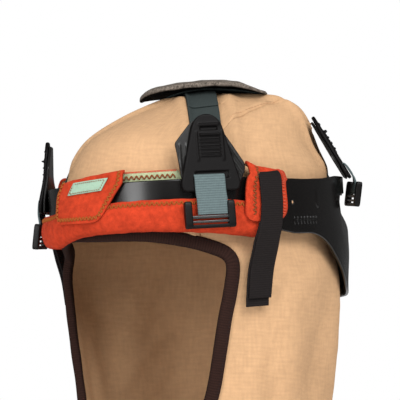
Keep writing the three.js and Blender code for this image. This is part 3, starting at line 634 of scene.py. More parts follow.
def felt_finish(name, colour, underside):
    """Pressed felt: short grey and brown fibres in a dark mat, near black where the pattern says underside:
    painted shade for the shadow under the pad.
    """
    f = Finish(name, colour, 1.0, specular_ior_level=0.1)
    fibre = f.noise(0.7, 4.0, stretch=(1, 0.35, 0.6))
    mat = f.noise(4.5, 3.0)
    upper = f.flat()[0]
    light = tuple(c * 2.3 for c in colour)
    share = ((fibre - 0.5) * 1.6 + mat * 0.5 + 0.2) * upper
    f.set("Base Color", f.blend(share, underside, light))
    f.bump(fibre * 0.6 + mat * 0.4, 0.7, 0.9)
    return f.material


def plastic_finish(name, colour, roughness, grain, specular):
    """Moulded plastic: a fine grain, rubbed patches that shine more, and dust in the tone."""
    f = Finish(name, colour, roughness, specular_ior_level=specular)
    fine = f.noise(0.5)
    rubbed = f.noise(14, 3.0)
    spread = 0.12
    f.tint(rubbed * 0.6 + fine * 0.3, 0.7, 1.5)
    f.set("Roughness", rubbed * spread + (roughness - spread / 2))
    f.bump(fine, grain, 0.5)
    return f.material


def thread_finish(name, colour):
    """Sewing thread: a twist of light and dark along it."""
    f = Finish(name, colour, 0.9, specular_ior_level=0.1)
    twist = f.noise(0.4)
    f.tint(twist, 0.65, 1.3)
    f.bump(twist, 0.1, 0.5)
    return f.material


COTTON = cotton_finish("cotton", (0.6, 0.364, 0.196))
BINDING = ribbed_finish("binding", (0.0205, 0.0088, 0.0066), pitch=1.6, tall=0.3, roughness=0.95)
WEBBING = ribbed_finish("webbing", (0.09, 0.121, 0.124), pitch=1.5, tall=0.3, roughness=0.85)
STRAP = ribbed_finish("strap", (0.033, 0.042, 0.041), pitch=1.5, tall=0.3, roughness=0.9)
TAPE = ribbed_finish("tape", (0.0115, 0.009, 0.0088), pitch=1.4, tall=0.25, roughness=0.95)
# The felt's third colour is the dark mat between its fibres, and near black on the pad's underside as painted
# shade for the shadow there.
FELT = felt_finish("felt", (0.115, 0.096, 0.08), (0.006, 0.005, 0.004))
RED = fleece_finish("red_fleece", (0.46, 0.042, 0.0145), 0.5, 1.4)
MINT = fleece_finish("mint_reverse", (0.36, 0.4, 0.24), 0.7, 1.2)
PATCH = fleece_finish("patch_cloth", (0.3, 0.43, 0.325), 0.85, 1.12)
BAND = plastic_finish("band_plastic", (0.003, 0.0024, 0.0022), roughness=0.24, grain=0.012, specular=0.4)
HANGER = plastic_finish("hanger_plastic", (0.008, 0.0075, 0.007), roughness=0.3, grain=0.03, specular=0.26)
CLIP = plastic_finish("clip_plastic", (0.004, 0.0034, 0.0034), roughness=0.42, grain=0.05, specular=0.09)
BUCKLE = plastic_finish("buckle_plastic", (0.004, 0.0036, 0.0034), roughness=0.35, grain=0.03, specular=0.12)
BAR = plastic_finish("bar_plastic", (0.02, 0.02, 0.02), roughness=0.24, grain=0.02, specular=0.55)
TAN_THREAD = thread_finish("tan_thread", (0.5, 0.3, 0.17))
DARK_THREAD = thread_finish("dark_thread", (0.02, 0.013, 0.013))
RUST_THREAD = thread_finish("rust_thread", (0.2, 0.055, 0.018))
MUSTARD_THREAD = thread_finish("mustard_thread", (0.29, 0.076, 0.016))
OVERLOCK_THREAD = thread_finish("overlock_thread", (0.42, 0.06, 0.03))


# Hood.

def section(run):
    """Drop, half-width, half-length and middle at a length down the profile.

    Between two rows it is a cubic whose slope at each row comes from the rows on both sides.
    """
    run = np.clip(run, 0, RUNS[-1])
    last = len(RUNS) - 2
    i = np.clip(np.searchsorted(RUNS, run, side="right") - 1, 0, last)
    before = np.where(i == 0, i + 1, i - 1)
    after = np.where(i == last, i, np.minimum(i + 2, last + 1))
    step = RUNS[i + 1] - RUNS[i]
    w0 = 0.5 * step / (RUNS[i] - RUNS[before])
    w1 = 0.5 * step / (RUNS[after] - RUNS[i + 1])
    p = (run - RUNS[i]) / step
    shares = (
        -w0 * p**3 + 2 * w0 * p**2 - w0 * p,
        (1 + w0) * p**3 - (1.5 + 2 * w0) * p**2 + (w0 - 0.5) * p + 1,
        (-1 - w1) * p**3 + (1.5 + w1) * p**2 + 0.5 * p,
        w1 * p**3 - w1 * p**2,
    )
    found = sum(s[..., None] * SECTIONS[k] for s, k in zip(shares, (before, i, i + 1, after)))
    return np.moveaxis(np.maximum(found, [0, 0, 0, -np.inf]), -1, 0)


RUN_STEPS = np.linspace(0, RUNS[-1], 4000)
DROP_STEPS = np.maximum.accumulate(section(RUN_STEPS)[0])


def run_at(drop):
    """Length down the profile at a drop, read from a fine table."""
    return np.interp(drop, DROP_STEPS, RUN_STEPS)


def oval_place(x, y, run):
    """Turn of a point of the plan on the oval at a run, and its distance out, 1 on the oval."""
    _, half, reach, mid = section(run)
    across = x / np.maximum(half, 1e-6)
    ahead = (mid - y) / np.maximum(reach, 1e-6)
    return np.degrees(np.arctan2(across, ahead)), np.hypot(across, ahead)


def hood_plain(turn, run):
    """The hood's outer face: ovals by turn and run, moved out by bell-shaped folds."""
    drop, half, reach, mid = section(run)
    t = np.radians(turn)
    lift = 0
    for at, low, wide, tall, lean, deep in FOLDS:
        aside = turned(turn, at + lean * (drop - low))
        lift = lift + deep * hill(aside, wide) * hill(drop - low, tall)
    out = unit(np.stack([reach * np.sin(t), -half * np.cos(t)], -1)) * lift[..., None]
    x = half * np.sin(t) + out[..., 0]
    y = mid - reach * np.cos(t) + out[..., 1]
    return np.stack([x, y, CLOTH - drop + 0 * x], -1)


def strap_ends(front, rear):
    """Places behind the band where a crown strap begins in front and ends behind."""
    return ring(front, *STRAP_FRONT_END), ring(rear, *STRAP_REAR_END)


def strap_aside(x, y):
    """Distance in plan to the nearer of the lines that the crown straps follow."""
    gaps = []
    for front, rear, _ in STRAPS.values():
        start, end = (place[:2] for place in strap_ends(front, rear))
        along = unit(end - start)
        gaps.append(np.abs((x - start[0]) * along[1] - (y - start[1]) * along[0]))
    return np.minimum(*gaps)


def dent_relief(x, y, drop):
    """Dents and creases: for each row of the table, a bell of the turn times a bell of the drop."""
    half, reach, mid = (column(SECTIONS, drop, k) for k in (1, 2, 3))
    turn = np.degrees(np.arctan2(x / np.maximum(half, 1), (mid - y) / np.maximum(reach, 1)))
    lift = 0
    for at, low, wide, tall, deep in DENTS:
        lift = lift + deep * hill(turned(turn, at), wide) * hill(drop - low, tall)
    return lift


def strap_relief(aside, y, drop):
    """Cloth pressed in under the crown straps and puffed out in a bell beside them."""
    show = ease(1, 7, drop) * (1 - ease(46, 62, drop))
    groove = lerp(1.1, 3.0, ease(12, 32, y))
    return show * (2.9 * hill(aside - 16, 4.8) - groove * (1 - ease(9.5, 13, aside)))


def seam_relief(x, y, drop, aside):
    """A groove at each side seam, a soft ridge beside it and puckers along it; flat under the straps."""
    z = CLOTH - drop
    seam = np.abs(x) - (SEAM_HALF - SEAM_TAPER * y)
    sewn = ((y > 0) | (z > SEAM_FRONT_END)) * np.where(drop < 64, ease(11.5, 17, aside), 1)
    pucker = 0.3 * np.sin(y / 3.1 + 0.7 * np.sin(z / 9)) * hill(seam, 5)
    return sewn * (0.55 * hill(seam + SEAM_ROW, 2.6) - 0.75 * hill(seam, 1.1) + pucker)


def edge_relief(x, y, drop):
    """A groove between two ridges at the chin seam, and a rolled hem with a groove at its stitches."""
    chin = ((y < 0) & (drop > CLOTH + 250)) * (0.4 * hill(np.abs(x) - 3, 2.4) - 0.7 * hill(x, 1.0))
    above_hem = HEM_DROP - drop
    return chin + 0.6 * hill(above_hem - 2, 3) - 0.4 * hill(above_hem - 14, 1.2)


def hood_soft(p):
    """Small relief of the cloth at points: slight waves, dents, straps, seams and hem."""
    x, y, z = np.moveaxis(p, -1, 0)
    drop = CLOTH - z
    waves = 0.45 * lumps(p, 17) * ease(30, 60, drop) + 0.25 * lumps(p, 7) * ease(100, 140, drop)
    aside = strap_aside(x, y)
    pressed = dent_relief(x, y, drop) + strap_relief(aside, y, drop)
    return waves + pressed + seam_relief(x, y, drop, aside) + edge_relief(x, y, drop)


def hood(turn, run, out=0.0):
    """A point of the finished cloth, at a distance out along the face's direction, and that direction."""
    face = hood_plain(turn, run)
    safe = np.maximum(run, 1.0)
    around = hood_plain(turn + 0.5, safe) - hood_plain(turn - 0.5, safe)
    down = hood_plain(turn, safe + 0.5) - hood_plain(turn, safe - 0.5)
    normal = unit(np.cross(down, around))
    normal = np.where((run < 1)[..., None], UP, normal)
    return face + normal * (hood_soft(face) + out)[..., None], normal


def seam_over(turn, run):
    """How far a place of a level oval lies outside the side seam x = 50 - 0.12 y."""
    _, half, reach, mid = section(run)
    t = np.radians(turn)
    return half * np.sin(t) - (SEAM_HALF - SEAM_TAPER * (mid - reach * np.cos(t)))


def seam_turn(run, rear):
    """Turn at which a level oval meets the side seam, in front or behind."""
    end = np.full_like(run, 180.0 if rear else 0.0)
    return halve(np.full_like(run, 90.0), end, lambda turn: seam_over(turn, run) > 0)


def seam_top():
    """Run and turn of the highest place of the side seam: the first oval that reaches it."""
    run = np.linspace(20, 130, 2200)[:, None]
    turn = np.linspace(40, 140, 401)[None]
    over = seam_over(turn, run)
    first = np.argmax(over.max(1) > 0)
    return run[first, 0], turn[0, over[first].argmax()]


def opening_half(drop):
    """Half-width of the face opening at a drop, through its smooth outline."""
    outline, _ = spline(OPENING, np.linspace(0, 1, 800))
    drops = np.maximum.accumulate(outline[:, 0])
    return np.where((drop > drops[0]) & (drop < drops[-1]), np.interp(drop, drops, outline[:, 1]), 0)


def hood_grid(turn, run):
    """Points and flat coordinates of a grid of turns and runs on the hood."""
    turn, run = np.broadcast_arrays(turn, run)
    return hood(turn, run)[0], pattern(np.radians(turn) * HOOD_RADIUS, run)


def hood_panels():
    """Middle panel from brow over the crown to the hem behind, and a panel on each side.

    Rows follow the profile and columns the turn between the seams, so each edge is a seam, the
    hem or a line just outside the face opening that the binding covers. Rows lie closer together
    toward the top of the seam, where it runs nearly level.
    """
    top_run, top_turn = seam_top()

    def seam(run, rear):
        return np.where(run > top_run + 0.1, seam_turn(run, rear), top_turn)

    share = np.linspace(0, 1, 101)[None]
    rows = lerp(top_run, RUNS[-1], np.linspace(0, 1, 221)[:, None] ** 1.8)
    front = seam(rows, False)
    rear = seam(rows, True)
    cap = np.linspace(0, top_run, 34)[:, None]
    brow = lerp(-1.0, 1.0, share)
    brow_drop = np.interp(np.abs(brow) * BROW_HALF, OPENING[:3, 1], OPENING[:3, 0]) - OPENING_CLEAR
    brow_run = lerp(top_run, run_at(brow_drop), np.linspace(0, 1, 76)[:, None] ** 1.8)
    grids = [
        hood_grid(lerp(-top_turn, top_turn, share), cap),
        hood_grid(lerp(top_turn, 360 - top_turn, share), cap),
        hood_grid(lerp(rear, 360 - rear, share), rows),
        hood_grid(brow * seam(brow_run, False), brow_run),
    ]
    wall = dict(away=np.array([0, 5, -110.0]), wall=CLOTH, seat=-1)
    middle = piece("hood_crown_cloth", grids, [COTTON], "cotton", ["hood_crown_panel"], **wall)
    drop, half, _, _ = section(rows)
    bound = (opening_half(drop) + OPENING_CLEAR) / np.maximum(half, 1)
    face = np.degrees(np.arcsin(np.clip(bound, 0, 1)))
    edge = np.select([drop < 99, drop < 112, drop < 255], [front, np.maximum(front, face), face], 0.0)
    sides = []
    for name, sign in (("left", 1), ("right", -1)):
        grid = hood_grid(sign * lerp(edge, rear, share), rows)
        sides.append(piece(f"hood_cloth_{name}", [grid], [COTTON], "cotton", [f"hood_side_{name}"], **wall))
    return middle, sides, rows[:, 0], rear[:, 0]


def hood_stitching(rows, rear):
    """Rows of stitches beside the seams and above the hem, with gaps where a strap lies over them."""
    drop, half, _, _ = section(rows)
    step = np.degrees(SEAM_ROW / np.maximum(half, 20))
    brow = rows[(drop < 100) & (rows > rows[0] + 0.5)]
    seam = np.concatenate([
        np.stack([seam_turn(brow, False) - step[: len(brow)], brow], -1)[::-1],
        np.stack([rear + step, rows], -1)[2:],
    ])
    hem = np.linspace(0, 360, 400)
    lines = [seam, seam * [-1, 1], np.stack([hem, np.full_like(hem, RUNS[-1] - 15)], -1)]
    found = []
    for line in lines:
        path, normal = hood(*line.T, 0.12)
        row = running(path, normal, 3.4)
        bare = (strap_aside(*row[0][:, :2].T) > 12.5) | (row[0][:, 2] < -62)
        found.append([part[bare] for part in row])
    return threads("hood_stitching", *map(np.concatenate, zip(*found)), 0.28, TAN_THREAD, "cotton")


def hood_cover():
    """The whole hood: panels with their stitching."""
    middle, sides, rows, rear = hood_panels()
    sewn = hood_stitching(rows, rear)


def opening_frame(count):
    """Edge of the face opening on the hood, the direction away from it, and outward."""
    right = np.stack([OPENING[:, 1], CLOTH - OPENING[:, 0]], -1)
    left = right[::-1][1:] * [-1, 1]
    edge = curve(np.concatenate([right, left]), count, 4000)
    run = run_at(CLOTH - edge[:, 1])
    half = section(run)[1]
    turn = np.degrees(np.arcsin(np.clip(edge[:, 0] / half, -1, 1)))
    at = hood_plain(turn, run)
    _, out = hood(turn, run)
    ahead = np.roll(at[:-1], -1, 0) - np.roll(at[:-1], 1, 0)
    ahead = np.concatenate([ahead, ahead[:1]])
    return at, unit(np.cross(out, ahead)), out


def face_binding():
    """Tape folded round the edge of the opening: a U-shaped path carried round the edge, slightly wavy."""
    at, away, out = opening_frame(BINDING_STATIONS)
    path, _ = spline(BINDING_PATH, np.linspace(0, 1, 25))
    waves = 1 + 0.05 * np.sin(np.linspace(0, 17 * 2 * np.pi, BINDING_STATIONS))[:, None, None]
    points = at[:, None] + away[:, None] * path[:, :1] + out[:, None] * (path[:, 1:] * waves)
    flat = pattern(lengths(path), lengths(at)[:, None])
    core = at + away * 5 - out * 0.9
    made = piece(
        "face_binding_tape", [(points, flat)], [BINDING], "binding", ["face_binding"],
        away=core[:, None], wall=1.1,
    )
    line = at + away * 6.1 + out * 1.75
    sewn = threads("face_binding_stitching", *running(line, out, 3.0), 0.25, DARK_THREAD, "binding")


# Harness.

def tilt(p):
    """From the ring's own frame to the part's: a small pitch, a small roll, and the ring's place."""
    cp, sp, cr, sr = np.cos(RING_PITCH), np.sin(RING_PITCH), np.cos(RING_ROLL), np.sin(RING_ROLL)
    pitch = np.array([[1, 0, 0], [0, cp, -sp], [0, sp, cp]])
    roll = np.array([[cr, 0, sr], [0, 1, 0], [-sr, 0, cr]])
    return p @ (pitch @ roll).T + RING_CENTRE


def ring_frame(turn):
    """Place on the ring and the directions out of it and along it."""
    t = np.radians(turn)
    out = unit(np.stack([RING_REACH * np.sin(t), -RING_HALF * np.cos(t), 0 * t], -1))
    at = np.stack([RING_HALF * np.sin(t), -RING_REACH * np.cos(t), 0 * t], -1)
    along = np.stack([-out[..., 1], out[..., 0], 0 * t], -1)
    return at, out, along


def ring(turn, out, up):
    """A point at a turn round the band, a distance out from it and a height on it."""
    turn, out, up = np.broadcast_arrays(turn, out, up)
    at, away, _ = ring_frame(turn)
    return tilt(at + away * out[..., None] + UP * up[..., None])


def ring_out(turn):
    """Outward direction of the band at a turn."""
    return ring(turn, 1.0, 0) - ring(turn, 0.0, 0)


def band_low(side):
    """Height of the headband's lower edge at a turn to either side."""
    return column(BAND_EDGE, side)


def nape(side, k):
    """A column of the nape band's table at a turn to either side, averaged over six degrees."""
    near = side[..., None] + np.linspace(-3, 3, 7)
    return column(NAPE_EDGE, 180 - np.abs(180 - near), k).mean(-1)


def notch_gap(side):
    """Half the gap between arm and nape band: it opens as a square root from the notch's round end."""
    return 1.44 * np.sqrt(np.clip((side - NOTCH_TURN) / 1.6, 0, 1))


def band_arm(turn, down):
    """Upper strip of the band: brow and sides, with an arm to each rear clip."""
    side = np.abs(turn)
    arm = np.maximum(band_low(side), NOTCH_UP) + notch_gap(side)
    low = np.select([side > 140, side > NOTCH_TURN], [band_low(side), arm], NOTCH_UP)
    return ring(turn, 0.0, lerp(column(BAND_TOP, side), low, down))


def band_nape(turn, down):
    """Lower strip of the band, which becomes the nape band and stands out or in as it goes round."""
    side = np.abs(turn)
    parted = side > NOTCH_TURN
    high = np.where(parted, np.minimum(nape(side, 1), NOTCH_UP) - notch_gap(side), NOTCH_UP)
    low = np.where(side < 94, band_low(side), np.minimum(nape(side, 2), -30))
    low = np.where(side < 103, np.minimum(low, band_low(side)), low)
    fall = ease(0, 0.5, down)
    spread = np.where(parted, lerp(fall, 1, ease(NOTCH_TURN, 136, side)), fall * (side > 96))
    inward = 2.0 * ease(0.25, 1, down) * ease(112, 128, side) * (1 - ease(150, 166, side))
    return ring(turn, nape(side, 3) * spread - inward, lerp(high, low, down))


def headband():
    """The band: two strips that share one line as far as the notch behind the ear and part there."""
    down = np.linspace(0, 1, 13)[:, None]
    grids = []
    for strip, end in ((band_arm, BAND_END), (band_nape, 180)):
        turn = np.linspace(-end, end, 2 * end + 1)[None]
        grids.append((strip(turn, down), pattern(turn * BAND_DEGREE, down * 30)))
    made = piece(
        "headband_shell", grids, [BAND], "band", ["headband"],
        away=np.array([0, 0, -90.0]), wall=BAND_WALL, seat=1,
    )
    edges_rounded(made, 0.55)


def dome(turn, up, wide, tall, high):
    """A raised oval on the band: rings whose height falls as the square root of 1 - r^2."""
    r = np.linspace(1, 0, 7)[:, None]
    a = np.linspace(0, 2 * np.pi, 25)[None]
    out = BAND_WALL + high * np.sqrt(1 - r**2) - 0.15 * (r == 1)
    return ring(turn + r * np.cos(a) * wide / BAND_DEGREE, out, up + r * np.sin(a) * tall)


def eyelet_rim(side):
    """A rounded rim round the hole of the band: a small circle carried round an oval."""
    a = np.linspace(0, 2 * np.pi, 25)[None]
    b = np.linspace(0, 2 * np.pi, 13)[:, None]
    x = (1.0 + 0.4 * np.cos(b)) * np.cos(a)
    y = (1.5 + 0.4 * np.cos(b)) * np.sin(a)
    return ring(side * EYELET_TURN + x / BAND_DEGREE, BAND_WALL + 0.45 * np.sin(b), EYELET_UP + y)


def band_details():
    """Raised oval, short ribs and an eyelet with its plug on each side of the band."""
    raised = []
    for side in (1, -1):
        raised.append(dome(side * 97.5, -15.5, 2.7, 6.2, 0.5))
        raised += [dome(side * (84.2 + 1.7 * k), -28.8, 0.75, 2.9, 0.5) for k in range(RIB_COUNT)]
    rims = [eyelet_rim(side) for side in (1, -1)]
    plugs = [dome(side * EYELET_TURN, EYELET_UP, 0.65, 1.1, 0.2) for side in (1, -1)]
    small_shapes("band_relief", np.stack(raised), BAND)
    small_shapes("band_eyelets", np.stack(rims), HANGER)
    small_shapes("band_eyelet_plugs", np.stack(plugs), TAN_THREAD)


def nape_slider():
    """Sleeve at the nape: a rounded loop carried along the band, and back inside itself as its inner face."""
    there = np.linspace(180 - SLIDER_HALF_TURN, 180 + SLIDER_HALF_TURN, 49)
    turn = np.concatenate([there, there[::-1], there[:1]])[None]
    inset = np.repeat([0, SLIDER_WALL, 0], (49, 49, 1))[None]
    a = np.linspace(0, 2 * np.pi, 65)[:, None]
    high, low, lift = (nape(turn, k) for k in (1, 2, 3))
    ends = 1 - 0.08 * (np.abs(turn - 180) / SLIDER_HALF_TURN) ** 8
    deep = np.where(np.cos(a) > 0, 3.4, 2.2) - inset
    tall = (high - low) / 2 + 2.4 - inset
    out = lift + 0.9 + squared(np.cos(a)) * deep * ends
    up = (high + low) / 2 + squared(np.sin(a)) * tall * ends
    made = piece("nape_slider_sleeve", [(ring(turn, out, up), None)], [CLIP], "clip", ["nape_slider"])
    edges_rounded(made, 0.4)


# Clips.

def clip_place(clip, x, y, z):
    """A point of a clip's own frame: x along the band, y up the clip, z outward."""
    at, out, along = ring_frame(clip["turn"])
    x, y, z = np.broadcast_arrays(x, y, z)
    x, z = swung(x, z, np.radians(clip["twist"]) * ease(-9, 12, y))
    away, up = swung(z, -y, np.radians(clip["lean"]))
    away = away + clip["stand"]
    return tilt(at + along * x[..., None] + out * away[..., None] - UP * up[..., None])


def spaced(count):
    """Shares from 0 to 1 that lie closer together at both ends."""
    s = np.linspace(-1, 1, count)
    return 0.5 + 0.5 * (0.55 * s + 0.45 * np.sin(s * np.pi / 2))


def plate(clip, edges, base, wall, relief, rows, columns):
    """Front and back of a plate between two edge lines; both faces round off to meet at the rim."""
    low, high = edges[0, 0], edges[-1, 0]
    y = lerp(low, high, spaced(rows))[:, None]
    left = column(edges, y, 1)
    right = column(edges, y, 2)
    x = lerp(left, right, spaced(columns)[None])
    y = y + 0 * x
    rim = np.minimum(np.minimum(x - left, right - x), np.minimum(y - low, high - y))
    full = np.sqrt(np.maximum(1 - (1 - np.clip(rim / (wall / 2), 0, 1)) ** 2, 0))
    middle = base + wall / 2
    front = middle + full * (wall / 2) + relief(x, y) * ease(0, 1.2, rim)
    back = middle - full * (wall / 2)
    return [(clip_place(clip, x, y + clip["slip"], z), None) for z in (front, back)]


def hanger(clip):
    """Dark grey plate behind a clip, with a raised lip and slanted ridges on its long slope."""
    name, hand = clip["name"], clip["hand"]
    edges = HANGER_EDGES if hand > 0 else HANGER_EDGES[:, [0, 2, 1]] * [1, -1, -1]

    def relief(x, y):
        across = x * hand
        slope = (across - 23.3) * 0.85 + (y - 8.5) * 0.526
        ridges = 0.55 * (hill(slope + 3.2, 0.55) + hill(slope + 6.4, 0.55)) * ease(-3, 0, y)
        lip = 0.45 * hill(np.abs(across + 15.5) - 2.2, 0.6) * ease(4, 7, y)
        return (ridges * (across > 3) + lip * (across < -5)) * (1 - ease(19, 22, y))

    grids = plate(clip, edges, 0, HANGER_WALL, relief, 72, 80)
    piece(f"hanger_plate_{name}", grids, [HANGER], "hanger", [f"hanger_{name}"])


def snap_clip(clip):
    """Black clip plate: a slot with a lip, a ladder of ribs between rails, and the webbing's slot below."""
    name = clip["name"]
    edges = CLIP_EDGES[:, [0, 1, 1]] * [1, -1, 1]

    def relief(x, y):
        across = x - clip["hand"]
        upper = inside(across, 5.5, 0.35) * inside(y - 30, 1.1, 0.3)
        lower = inside(across, 10.5, 0.4) * inside(y - 1.2, 2.2, 0.4)
        lip = 0.7 * hill(y - 32.4, 0.8) * inside(across, 6.5, 0.8)
        ribs = sum(tall * inside(y - at, 0.65, 0.3) for at, tall in SNAP_RIBS) * inside(across, 6.5, 0.35)
        rails = 0.5 * hill(np.abs(across) - 8.2, 0.6) * ease(9, 11, y) * (1 - ease(27, 29, y))
        return ribs + lip + rails - SLOT_DEEP * (upper + lower)

    grids = plate(clip, edges, CLIP_BASE, CLIP_WALL, relief, 150, 60)
    piece(f"clip_plate_{name}", grids, [CLIP], "clip", [f"clip_{name}"])


def buckle_point(clip, above):
    """Height and distance out of a point in the buckle's middle plane, above its centre."""
    hang = np.radians(clip["hang"])
    return clip["slip"] - clip["fall"] + above * np.cos(hang), clip["flare"] + above * np.sin(hang)


def clip_webbing(clip):
    """Short webbing from the clip's slot over its lower edge to the buckle: a path carried across."""
    name, slip = clip["name"], clip["slip"]
    path = [(1.2 + slip, 3.4), (0.9 + slip, 4.6), (-1 + slip, 5.5), (-8.6 + slip, 5.7)]
    path += [buckle_point(clip, 7.4), buckle_point(clip, 0)]
    path = curve(path, 61, 400)
    up, out = path[:, :1], path[:, 1:]
    across = np.linspace(-WEBBING_HALF, WEBBING_HALF, 25)[None]
    swing = np.radians(clip["swing"]) * ease(0.35, 1, np.linspace(0, 1, 61))[:, None]
    x = across * np.cos(swing) - WEBBING_ASIDE * clip["hand"]
    points = clip_place(clip, x, up, out - across * np.sin(swing))
    run = lengths(path)
    made = piece(
        f"webbing_strip_{name}", [(points, pattern(across, run[:, None]))], [WEBBING], "webbing",
        [f"webbing_{name}"], away=clip_place(clip, 0.0, path[0, 0], -30.0), wall=WEBBING_WALL,
    )


def rounded_block(wide, tall, deep, x, y):
    """A block with rounded edges: a superellipsoid, each cosine and sine to the power 0.3."""
    u = np.linspace(-np.pi / 2, np.pi / 2, 21)[:, None]
    v = np.linspace(-np.pi, np.pi, 33)[None]
    level = squared(np.maximum(np.cos(u), 0))
    return (
        x + wide / 2 * level * squared(np.cos(v)),
        y + tall / 2 * level * squared(np.sin(v)),
        deep / 2 * squared(np.sin(u)) + 0 * v,
    )


def buckle(clip):
    """Buckle hung below a clip: a frame of two posts and a bar, and two thin bars that catch the light."""
    name = clip["name"]
    hang = np.radians(clip["hang"])
    high, far = buckle_point(clip, 0)

    def hung(*block):
        x, y, z = rounded_block(*block)
        x, z = swung(x, z, np.radians(clip["swing"]))
        out, up = swung(z, -y, -hang)
        return clip_place(clip, x - BUCKLE_ASIDE * clip["hand"], high - up, far + out), None

    frame_grids = [hung(*block) for block in BUCKLE_FRAME]
    bar_grids = [hung(*block) for block in BUCKLE_BARS]
    piece(f"buckle_frame_{name}", frame_grids, [BUCKLE], "clip", [f"buckle_{name}"])
    piece(f"buckle_bars_{name}", bar_grids, [BAR], "clip")


# Sweatband.

def wrap_point(turn, share, off=0.0):
    """The wrapped fleece: a path under the band and up its front, whose ends follow the edge table.

    The front is pressed in under one buckle by a bell of the turn.
    """
    turn, share, off = np.broadcast_arrays(turn, share, off)
    value, slope = spline(WRAP_PATH, share.astype(float))
    edges = np.stack([column(WRAP_EDGE, turn, k) for k in (1, 2, 3)], -1)
    up = value[..., 1] + np.sum(edges * value[..., 2:], -1)
    climb = slope[..., 1] + np.sum(edges * slope[..., 2:], -1)
    away = unit(np.stack([climb, -slope[..., 0]], -1))
    at, wide, deep = PRESS
    pressed = deep * hill(turn - at, wide) * ease(2, 6, value[..., 0])
    return ring(turn, value[..., 0] - pressed + off * away[..., 0], up + off * away[..., 1])


def tab_point(tab, across, share, off=0.0):
    """A tab of fleece folded over the band: across between its slanted edges, share down its path.

    The corners at its foot are rounded by quarter circles, and the layer behind the band is narrower.
    """
    across, share, off = np.broadcast_arrays(across, share, off)
    foot, corner = tab["foot"], tab["corner"]
    path = np.concatenate([TAB_PATH[TAB_PATH[:, 1] > foot], [(column(TAB_FRONT, foot), foot)]])
    value, slope = spline(path, share.astype(float))
    away = unit(np.stack([-slope[..., 1], slope[..., 0]], -1))
    out, up = value[..., 0], value[..., 1]
    front = out > 1
    down = np.where(front, np.clip(up / foot, 0, 1), 0) ** tab["leaf"]
    near = np.where(front, np.clip(1 - (up - foot) / corner, 0, 1), 0)
    inset = corner * (1 - np.sqrt(np.maximum(1 - near**2, 0))) / TAB_DEGREE
    inset = inset + 4.5 * (1 - ease(-3.3, -1, out))
    from_top, from_foot, to_top, to_foot = tab["turns"]
    left = lerp(from_top, from_foot, down) + inset
    right = lerp(to_top, to_foot, down) - inset
    rise = np.interp(across, *zip(*tab["rises"])) * ease(-8, 4, up)
    return ring(lerp(left, right, across), out + off * away[..., 0], up + rise + off * away[..., 1])


def fleece_sheet(name, points, flat, core, stands_for=()):
    """Two-sided fleece, slightly lumpy: red away from the band, pale on the side that lies on it."""
    grid = points + unit(points - core) * (0.3 * lumps(points, 5))[..., None]
    return piece(name, [(grid, flat)], [RED, MINT], "fleece", stands_for, away=core, wall=FLEECE)


def sweatband_wrap():
    """The fleece along the brow, with a zigzag on its flap and an overlocked, stitched inner edge."""
    turn = np.linspace(-78, 74.5, 281)[None]
    share = np.linspace(0, 1, 61)[:, None]
    core = ring(turn, 1.0, -18 + 0 * share)
    flat = pattern(turn * WRAP_DEGREE, share * 70)
    wrap = fleece_sheet("sweatband_wrap", wrap_point(turn, share), flat, core, ["sweatband"])
    flap = np.arange(-77, 73.5, 1.15)
    flap_row = zigzag(wrap_point(flap, 0.958, 1.3), ring_out(flap), 1.5, 3.0)
    overlock = threads("sweatband_overlock", *flap_row, 0.42, MUSTARD_THREAD, "fleece")
    brow = np.linspace(3, 39, 140)
    brow_row = zigzag(wrap_point(brow, 0.028, -1.3), ring_out(brow), 1.6, 3.0)
    crest = threads("sweatband_crest", *brow_row, 0.42, RUST_THREAD, "fleece")
    edge = np.arange(2, 39, 0.55)
    inner = wrap_point(edge, 0.004, -1.4)
    outer = wrap_point(edge + 0.4, 0.004, 1.4)
    over = np.broadcast_to(UP, inner.shape)
    rim = threads("sweatband_rim", inner, outer, over, 0.6, OVERLOCK_THREAD, "fleece")


def tab_sheet(name, tab):
    """The fleece of a tab, and its width."""
    across = np.linspace(0, 1, tab["columns"])[None]
    down = np.linspace(0, 1, 61)[:, None]
    from_top, _, to_top, _ = tab["turns"]
    core = ring(lerp(from_top, to_top, across), 1.0, -12 + 0 * down)
    wide = (to_top - from_top) * TAB_DEGREE
    flat = pattern(across * wide, down * 50)
    return fleece_sheet(f"sweatband_tab_{name}", tab_point(tab, across, down), flat, core), wide


def tab_out(tab, across):
    """Outward direction at the foot of a tab, at shares across it."""
    _, from_foot, _, to_foot = tab["turns"]
    return ring_out(lerp(from_foot, to_foot, across))


def middle_tab_sewing(tab):
    """Zigzag down one side of the middle tab, along its foot and up the other side."""
    route = np.concatenate([
        np.linspace((0.045, 0.42), (0.045, 0.93), 40),
        np.linspace((0.09, 0.945), (0.91, 0.945), 30),
        np.linspace((0.955, 0.93), (0.955, 0.42), 40),
    ])
    row = zigzag(tab_point(tab, *route.T, 1.2), tab_out(tab, route[:, 0]), 1.35, 2.8)
    return [threads("sweatband_tab_zigzag", *row, 0.48, MUSTARD_THREAD, "fleece")]


def side_tab_sewing(name, tab):
    """Zigzag near the front edge of a side tab and overlock stitches over its rear edge."""
    front, rear = (0.19, 1) if name == "left" else (0.81, 0)
    down = np.linspace(0.43, 0.9, 60)
    across = np.full_like(down, front)
    row = zigzag(tab_point(tab, across, down, 1.25), tab_out(tab, across), 1.5, 2.6)
    sewn = threads(f"sweatband_tab_zigzag_{name}", *row, 0.42, RUST_THREAD, "fleece")
    down = np.linspace(0.34, 0.94, 22)
    near = tab_point(tab, lerp(front, rear, 0.82), down, 1.2)
    edge = tab_point(tab, rear, down + 0.012, 0.2)
    outs = tab_out(tab, np.full_like(down, rear))
    edging = threads(f"sweatband_tab_edging_{name}", near, edge, outs, 0.62, OVERLOCK_THREAD, "fleece")
    return [sewn, edging]


